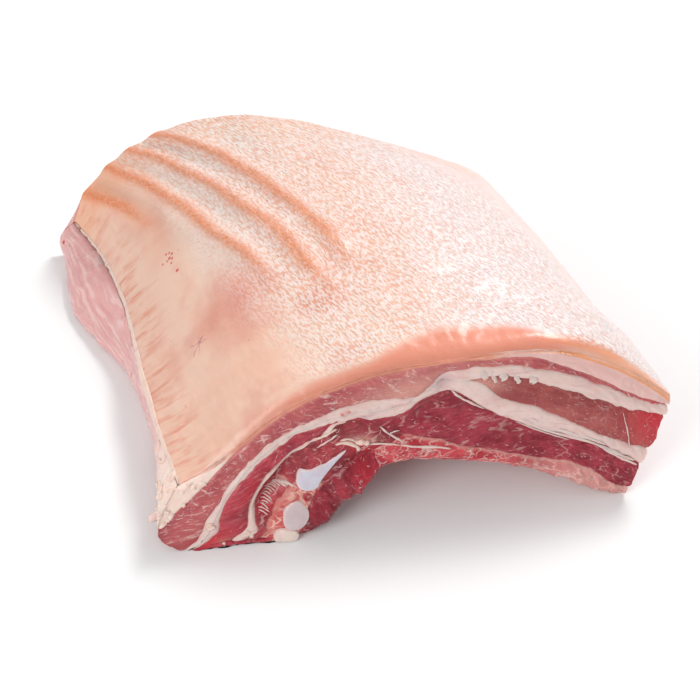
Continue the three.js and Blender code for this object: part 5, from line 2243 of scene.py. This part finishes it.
    def _piece(self, name: str, strands: tuple[Strand, ...], material: bpy.types.Material, slot: str) -> None:
        """Makes one piece of several strands.

        Args:
            name: The piece's name.
            strands: Its strands.
            material: Its finish.
            slot: The record's material slot.
        """
        shell = Shell()
        for seed, strand in enumerate(strands):
            flat = self._path(strand)
            spot = points(flat[:, 0] / 2.2, flat[:, 1] / 2.2, seed)
            flat = flat + 0.25 * points(Grain.single(spot, 51), Grain.single(spot, 52))
            centres, away = self.cut.place(flat, 0.1 + 0.15 * Grain.single(spot, 53))
            self._tube(
                shell, centres, away, strand.wide, strand.high, strand.ring, points(flat[:, 0], flat[:, 1], 0)
            )
        finished(name, shell.mesh(name), material, slot)

    def _path(self, strand: Strand) -> Array:
        """Returns points along a strand's path.

        Args:
            strand: The strand.

        Returns:
            Points along a strand's path.
        """
        path = [*strand.path, strand.path[0]] if strand.ring else list(strand.path)
        at = np.linspace(0, 1, self.steps, endpoint=not strand.ring)
        keys = np.linspace(0, 1, len(path))
        if strand.ring:
            middle = np.mean(strand.path, axis=0)
            reach = np.linalg.norm(np.array(strand.path[0]) - middle)
            return middle + reach * points(np.cos(2 * np.pi * at), np.sin(2 * np.pi * at))
        x = SmoothCurve(list(zip(keys, [spot[0] for spot in path])))
        y = SmoothCurve(list(zip(keys, [spot[1] for spot in path])))
        return points(x(at), y(at))

    def _tube(
        self, shell: Shell, centres: Array, away: Array, wide: float, high: float, ring: bool, lay: Array
    ) -> None:
        """Adds a tube of flat oval section along centres.

        Args:
            shell: What the tube is added to.
            centres: Points along its middle.
            away: Which way its flat side faces.
            wide: Half its width.
            high: Half its height.
            ring: Whether it closes on itself.
            lay: Places along the layers, for the finish.
        """
        count = len(centres)
        if ring:
            ahead = unit(np.roll(centres, -1, axis=0) - np.roll(centres, 1, axis=0))
            taper = np.ones(count)
        else:
            ahead = unit(np.gradient(centres, axis=0))
            at = np.linspace(-1, 1, count)
            taper = np.sqrt(np.maximum(1 - np.abs(at) ** 3, 0.02)) * (1 + 0.18 * np.sin(at * 7 + wide * 9))
        side = unit(np.cross(ahead, away))
        over = unit(np.cross(side, ahead))
        swing = np.arange(self.sides) * 2 * np.pi / self.sides
        across = side[:, None] * (wide * np.cos(swing))[None, :, None]
        across = across + over[:, None] * (high * np.sin(swing))[None, :, None]
        places = centres[:, None] + across * taper[:, None, None]
        grid = np.arange(count * self.sides).reshape(count, self.sides)
        grid = np.concatenate([grid, grid[:, :1]], axis=1)
        if ring:
            grid = np.concatenate([grid, grid[:1]], axis=0)
        faces = np.stack(
            [grid[:-1, :-1], grid[1:, :-1], grid[1:, 1:], grid[:-1, 1:]], axis=-1
        ).reshape(-1, 4).tolist()
        if not ring:
            faces += [grid[0, :-1].tolist(), grid[-1, :-1][::-1].tolist()]
        total = count * self.sides
        blank = {
            name: np.zeros(total)
            for name in ("bright", "dark", "pale", "stain", "vein", "depth", "bend", "run")
        }
        fields = {"lay": np.repeat(lay, self.sides, axis=0) * MILLI, "rim": np.full(total, 1.2), **blank}
        shell.add(places.reshape(-1, 3), faces, fields)


# ---- What is strewn over a surface ----------------------------------------


class Nodes:
    """Adds the nodes of one Geometry Nodes tree."""

    def __init__(self, name: str, inputs: dict[str, tuple[str, float | int | None]]) -> None:
        """Makes a tree with named inputs.

        Args:
            name: The tree's name.
            inputs: Kind and value of each input, by name.
        """
        self.tree = bpy.data.node_groups.new(name, "GeometryNodeTree")
        self.tree.interface.new_socket("Bed", in_out="INPUT", socket_type="NodeSocketGeometry")
        for title, (kind, value) in inputs.items():
            socket = self.tree.interface.new_socket(title, in_out="INPUT", socket_type=kind)
            if value is not None:
                socket.default_value = value
        self.tree.interface.new_socket("Result", in_out="OUTPUT", socket_type="NodeSocketGeometry")
        self.entry = self.tree.nodes.new("NodeGroupInput")
        self.exit = self.tree.nodes.new("NodeGroupOutput")

    def node(self, kind: str, settings: dict | None = None, inputs: dict | None = None) -> bpy.types.Node:
        """Adds a node.

        Args:
            kind: The node's type.
            settings: Its settings, which come first.
            inputs: Value or output socket of each socket, by name or number.

        Returns:
            The node.
        """
        node = self.tree.nodes.new(kind)
        for name, value in (settings or {}).items():
            setattr(node, name, value)
        for name, value in (inputs or {}).items():
            if isinstance(value, bpy.types.NodeSocket):
                self.tree.links.new(value, node.inputs[name])
            else:
                node.inputs[name].default_value = value
        return node

    def finish(self, geometry: bpy.types.NodeSocket) -> bpy.types.NodeTree:
        """Joins the result to the tree's output."""
        self.tree.links.new(geometry, self.exit.inputs["Result"])
        return self.tree


@dataclass
class Strewn:
    """Small spindle-shaped bits strewn over a part of a piece's surface."""

    name: str
    density: float
    length: float
    thick: float
    swing: float
    seed: int
    slot: str

    def _tree(self) -> bpy.types.NodeTree:
        """Returns the tree that strews the bits.

        Returns:
            The tree that strews the bits.
        """
        nodes = Nodes(
            f"{self.name}_tree",
            {
                "Density": ("NodeSocketFloat", self.density),
                "Length": ("NodeSocketFloat", self.length),
                "Thickness": ("NodeSocketFloat", self.thick),
                "Swing": ("NodeSocketFloat", self.swing),
                "Seed": ("NodeSocketInt", self.seed),
                "Finish": ("NodeSocketMaterial", None),
            },
        )
        entry = nodes.entry.outputs
        weight = nodes.node("GeometryNodeInputNamedAttribute", {"data_type": "FLOAT"}, {"Name": "weight"})
        rate = nodes.node(
            "ShaderNodeMath", {"operation": "MULTIPLY"}, {0: weight.outputs[0], 1: entry["Density"]}
        )
        spots = nodes.node(
            "GeometryNodeDistributePointsOnFaces", {"distribute_method": "RANDOM"},
            {"Mesh": entry["Bed"], "Density": rate.outputs[0], "Seed": entry["Seed"]},
        )
        along = nodes.node(
            "GeometryNodeInputNamedAttribute", {"data_type": "FLOAT_VECTOR"}, {"Name": "along"}
        )
        stray = nodes.node(
            "FunctionNodeRandomValue", {"data_type": "FLOAT_VECTOR"},
            {0: (-1, -1, -1), 1: (1, 1, 1), "Seed": entry["Seed"]},
        )
        strayed = nodes.node(
            "ShaderNodeVectorMath", {"operation": "SCALE"}, {0: stray.outputs[0], "Scale": entry["Swing"]},
        )
        heading = nodes.node(
            "ShaderNodeVectorMath", {"operation": "ADD"}, {0: along.outputs[0], 1: strayed.outputs[0]}
        )
        upright = nodes.node(
            "FunctionNodeAlignRotationToVector", {"axis": "Z"}, {"Vector": spots.outputs["Normal"]},
        )
        turned = nodes.node(
            "FunctionNodeAlignRotationToVector", {"axis": "X", "pivot_axis": "Z"},
            {"Rotation": upright.outputs[0], "Vector": heading.outputs[0]},
        )
        ball = nodes.node("GeometryNodeMeshUVSphere", {}, {"Segments": 7, "Rings": 6, "Radius": 0.5})
        size = nodes.node(
            "ShaderNodeCombineXYZ", {}, {0: entry["Length"], 1: entry["Thickness"], 2: entry["Thickness"]},
        )
        spindle = nodes.node(
            "GeometryNodeTransform", {}, {"Geometry": ball.outputs["Mesh"], "Scale": size.outputs[0]}
        )
        place = nodes.node("GeometryNodeInputPosition")
        parts = nodes.node("ShaderNodeSeparateXYZ", {}, {0: place.outputs[0]})
        square = nodes.node(
            "ShaderNodeMath", {"operation": "MULTIPLY"}, {0: parts.outputs[0], 1: parts.outputs[0]}
        )
        bow = nodes.node(
            "ShaderNodeMath", {"operation": "DIVIDE"}, {0: square.outputs[0], 1: entry["Length"]}
        )
        shift = nodes.node("ShaderNodeCombineXYZ", {}, {1: bow.outputs[0]})
        bent = nodes.node(
            "GeometryNodeSetPosition", {}, {"Geometry": spindle.outputs[0], "Offset": shift.outputs[0]},
        )
        smooth = nodes.node("GeometryNodeSetShadeSmooth", {}, {"Geometry": bent.outputs[0]})
        scale = nodes.node(
            "FunctionNodeRandomValue", {"data_type": "FLOAT_VECTOR"},
            {0: (0.45, 0.6, 0.5), 1: (1.6, 1.3, 1.0), "Seed": self.seed + 7},
        )
        strewn = nodes.node(
            "GeometryNodeInstanceOnPoints", {},
            {"Points": spots.outputs["Points"], "Instance": smooth.outputs[0], "Rotation": turned.outputs[0],
             "Scale": scale.outputs[0]},
        )
        real = nodes.node("GeometryNodeRealizeInstances", {}, {"Geometry": strewn.outputs[0]})
        dressed = nodes.node(
            "GeometryNodeSetMaterial", {}, {"Geometry": real.outputs[0], "Material": entry["Finish"]}
        )
        return nodes.finish(dressed.outputs[0])

    def build(self, bed: bpy.types.Mesh, material: bpy.types.Material) -> bpy.types.Object:
        """Strews the bits over a bed.

        Args:
            bed: Mesh with a weight and a direction at each point.
            material: The bits' finish.

        Returns:
            The piece.
        """
        carrier = bpy.data.objects.new(f"{self.name}_bed", bed)
        bpy.context.scene.collection.objects.link(carrier)
        tree = self._tree()
        modifier = carrier.modifiers.new("strewn", "NODES")
        modifier.node_group = tree
        values = {
            "Density": self.density, "Length": self.length, "Thickness": self.thick, "Swing": self.swing,
            "Seed": self.seed, "Finish": material,
        }
        for item in tree.interface.items_tree:
            if item.in_out == "INPUT" and item.name in values:
                modifier[item.identifier] = values[item.name]
        graph = bpy.context.evaluated_depsgraph_get()
        mesh = bpy.data.meshes.new_from_object(carrier.evaluated_get(graph), depsgraph=graph)
        mesh.name = self.name
        bpy.data.objects.remove(carrier)
        return finished(self.name, mesh, material, self.slot)


@dataclass
class Strewing:
    """The threads of sinew on the cut lean and the crumbs on the rind's crests."""

    form: SlabForm

    THREADS = (
        ("outer_lean", Strewn("outer_threads", 2.1e5, 0.0019, 0.00026, 0.7, 3, "fat"), 1.2),
        ("wedge_lean", Strewn("wedge_threads", 0.8e5, 0.0016, 0.00024, 0.8, 4, "fat"), 1.5),
        ("inner_lean", Strewn("inner_threads", 0.7e5, 0.0015, 0.00024, 0.6, 5, "fat"), 1.5),
        ("left_lean", Strewn("left_threads", 0.6e5, 0.0018, 0.00026, 0.6, 6, "fat"), 1.5),
        ("rib_lean", Strewn("rib_threads", 1.1e5, 0.0020, 0.00028, 0.9, 7, "fat"), 1.2),
        ("meat_roll_lobe", Strewn("roll_threads", 0.7e5, 0.0017, 0.00028, 0.8, 11, "fat"), 0.8),
        ("net_lining", Strewn("lining_threads", 2.4e5, 0.0026, 0.00036, 0.9, 8, "lining"), 0.6),
    )

    def build(self, threads: bpy.types.Material, crumbs: bpy.types.Material, fat: bpy.types.Material) -> None:
        """Makes the strewn pieces.

        Args:
            threads: Finish of the threads.
            crumbs: Finish of the crumbs.
            fat: Finish of the lumps of fat at the flank's front edge.
        """
        for host, strewn, rim in self.THREADS:
            strewn.build(self._bed(host, "cut", rim), threads)
        Strewn("crest_crumbs", 3.6e5, 0.0012, 0.0005, 1.5, 9, "rind").build(
            self._bed("rind_cap", "crest", 0), crumbs
        )
        lumps = Strewn("edge_lumps", 0.8e5, 0.0042, 0.0026, 1.2, 10, "fat")
        lumps.build(self._bed("rind_cap", "depth", 0), fat)

    def _bed(self, host: str, field_name: str, rim: float) -> bpy.types.Mesh:
        """Copies the part of a piece's surface that bits are strewn on.

        Args:
            host: Name of the piece.
            field_name: Painted field that picks the part.
            rim: Distance in millimetres from a layer's border at which bits start.

        Returns:
            A mesh with a weight and a direction at each point.
        """
        source = bpy.data.objects[host].data
        bed = source.copy()
        read = {}
        for title in (field_name, "cut", "rim", "bend", "run"):
            read[title] = np.zeros(len(bed.vertices), np.float32)
            if title not in bed.attributes:
                continue
            bed.attributes[title].data.foreach_get("value", read[title])
        lay = np.zeros(len(bed.vertices) * 3, np.float32)
        bed.attributes["lay"].data.foreach_get("vector", lay)
        lay = lay.reshape(-1, 3) / MILLI
        u, v = read["bend"].astype(float), read["run"].astype(float)
        e = np.clip(lay[:, 1] / self.form.thickness(u, v), 0, 1)
        patches = ease((Grain.layered(lay / np.array([9, 6, 9]), 61, 2) + 0.25) / 0.5)
        if field_name == "cut":
            weight = (read["cut"] > 0.5) * ease((read["rim"] - 0.3) / max(rim, 0.1)) * patches
            along = unit(self.form.plain(u + 0.02, e, v) - self.form.plain(u - 0.02, e, v))
        elif field_name == "crest":
            weight = ease((read["crest"] - 0.45) / 0.4) * (read["cut"] < 0.5) * ease((0.97 - v) / 0.05)
            along = unit(self.form.plain(u, e, v + 0.01) - self.form.plain(u, e, v - 0.01))
        else:
            weight = (ease((0.5 - u) / 0.2) * ease((0.2 - v) / 0.14)
                      * ease((read["depth"] - 1.4) / 0.5) * patches)
            along = unit(self.form.plain(u, e + 0.05, v) - self.form.plain(u, e - 0.05, v))
        bed.attributes.new("weight", "FLOAT", "POINT").data.foreach_set("value", weight.astype(np.float32))
        bed.attributes.new("along", "FLOAT_VECTOR", "POINT").data.foreach_set(
            "vector", along.astype(np.float32).ravel()
        )
        work = bmesh.new()
        work.from_mesh(bed)
        layer = work.verts.layers.float["weight"]
        idle = [face for face in work.faces if all(vert[layer] <= 0 for vert in face.verts)]
        bmesh.ops.delete(work, geom=idle, context="FACES")
        work.to_mesh(bed)
        work.free()
        return bed


# ---- The stage ------------------------------------------------------------


@dataclass(frozen=True)
class Stage:
    """The plain floor, the soft lights and the camera."""

    floor_size: float = 6
    world: float = 0.52
    camera_at: tuple[float, float, float] = (0.0006, -0.6706, 0.8197)
    lens: float = 110.06

    def build(self) -> None:
        """Makes the floor, the lights and the camera."""
        self._floor()
        self._world()
        self._light("key", (0.5, 0.66, 1.0), 0.42, 11.5)
        self._light("fill", (-0.7, -0.75, 0.75), 0.6, 6)
        data = bpy.data.cameras.new("camera")
        data.lens, data.sensor_width = self.lens, 36
        data.clip_start, data.clip_end = 0.05, 20
        camera = bpy.data.objects.new("camera", data)
        camera.location = self.camera_at
        camera.rotation_euler = (math.radians(40), 0, 0)
        bpy.context.scene.collection.objects.link(camera)
        bpy.context.scene.camera = camera

    def _floor(self) -> None:
        """Makes the pale floor."""
        half = self.floor_size / 2
        mesh = bpy.data.meshes.new("floor")
        corners = [(-half, -half, 0), (half, -half, 0), (half, half, 0), (-half, half, 0)]
        mesh.from_pydata([(x, y, -0.0002) for x, y, _ in corners], [], [(0, 1, 2, 3)])
        wiring = Wiring("floor_white")
        surface = wiring.node(
            "ShaderNodeBsdfPrincipled", {}, {"Base Color": (0.9, 0.9, 0.9), "Roughness": 0.9}
        )
        output = wiring.node("ShaderNodeOutputMaterial")
        wiring.tree.links.new(surface.outputs[0], output.inputs[0])
        mesh.materials.append(wiring.material)
        floor = bpy.data.objects.new("floor", mesh)
        bpy.context.scene.collection.objects.link(floor)

    def _world(self) -> None:
        """Makes the even white surroundings."""
        world = bpy.data.worlds.new("studio")
        world.use_nodes = True
        background = world.node_tree.nodes["Background"]
        background.inputs["Color"].default_value = (1, 1, 1, 1)
        background.inputs["Strength"].default_value = self.world
        bpy.context.scene.world = world
        bpy.context.scene.view_settings.view_transform = "Standard"

    def _light(self, name: str, at: tuple[float, float, float], size: float, power: float) -> None:
        """Makes one square soft light that faces the slab.

        Args:
            name: The light's name.
            at: Where it stands.
            size: Its width and height in metres.
            power: Its power in watts.
        """
        data = bpy.data.lights.new(name, "AREA")
        data.size, data.energy = size, power
        light = bpy.data.objects.new(name, data)
        light.location = at
        light.rotation_mode = "QUATERNION"
        target = Vector((0, 0, 0.04)) - Vector(at)
        light.rotation_quaternion = target.to_track_quat("-Z", "Y")
        bpy.context.scene.collection.objects.link(light)


def finishes() -> dict[str, bpy.types.Material]:
    """Makes every finish.

    Returns:
        The materials by short name.
    """
    parts: dict[str, Finish] = {
        "rind": RindFinish("rind", shine=0.36, film=0.35, film_shine=0.2, glow=0.2, mirror=0.5),
        "fat": FatFinish("white_fat", shine=0.4, film=0.3, glow=0.25),
        "outer": LeanFinish("outer_lean", meat=tone(190, 96, 98), deep=tone(168, 74, 82),
                            light=tone(220, 146, 138), fibre_turn=35, fibre=(0.4, 1, 0.4), marbling=0.8),
        "brown": LeanFinish("wedge_lean", meat=tone(180, 92, 88), deep=tone(152, 66, 68),
                            light=tone(182, 108, 102),
                            bright=tone(206, 56, 66), fibre=(0.8, 0.8, 0.2), marbling=0.25),
        "red": LeanFinish("left_lean", meat=tone(186, 66, 80), deep=tone(146, 42, 58),
                          light=tone(224, 124, 124), fibre=(0.3, 1, 0.3), marbling=0.2),
        "dark": LeanFinish("inner_lean", meat=tone(168, 54, 70), deep=tone(130, 32, 48),
                           light=tone(200, 94, 100), fibre_turn=-12, fibre=(0.35, 1, 0.3), marbling=0.35),
        "rib": LeanFinish("rib_lean", meat=tone(176, 64, 74), deep=tone(120, 38, 46),
                          light=tone(202, 112, 108), fibre=(0.4, 1, 0.3), marbling=0.45),
        "roll": LeanFinish("roll_meat", meat=tone(168, 40, 58), deep=tone(112, 12, 30),
                           light=tone(206, 96, 104),
                           fibre=(0.6, 0.8, 0.3), marbling=0.2, film=0.45, film_shine=0.08, mirror=0.25),
        "bed": LiningFinish("rib_bed_meat", meat=tone(218, 116, 108), deep=tone(198, 78, 80), cover=0.9,
                            net=tone(240, 208, 190), border=tone(206, 136, 124)),
        "lining": LiningFinish("net_lining", meat=tone(208, 78, 86), deep=tone(180, 48, 60), cover=0.2,
                               net=tone(238, 202, 190), border=tone(228, 172, 162)),
        "gristle": GristleFinish("gristle", shine=0.3, film=0.5, film_shine=0.1, glow=0.3),
        "threads": BitFinish("white_threads", shine=0.35, film=0.4, glow=0.2),
        "crumbs": BitFinish("crest_crumbs", light=tone(242, 188, 154), dark=tone(232, 152, 108),
                            shine=0.4, film=0.3),
        "lumps": BitFinish("fat_lumps", light=tone(246, 222, 210), dark=tone(240, 204, 190),
                           shine=0.35, film=0.4),
        "scraps": FatFinish("fat_scraps", white=tone(238, 208, 194), pink=tone(226, 172, 154),
                            shine=0.35, film=0.4),
    }
    return {name: finish.build() for name, finish in parts.items()}


def main() -> None:
    """Builds the slab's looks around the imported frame."""
    logging.basicConfig(level=logging.INFO, format="%(message)s")
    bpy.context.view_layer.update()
    form = SlabForm()
    borders = Layers(form).build()
    maker = LayerMaker(form)
    materials = finishes()
    RindCap(maker, borders).build(materials["rind"])
    MeatLayers(maker, borders).build(materials)
    GristleRods(form).build(materials["gristle"])
    Scraps(FrontCut(form)).build(materials["fat"], materials["scraps"], materials["red"])
    Strewing(form).build(materials["threads"], materials["crumbs"], materials["lumps"])
    Stage().build()


if __name__ == "__main__":
    main()
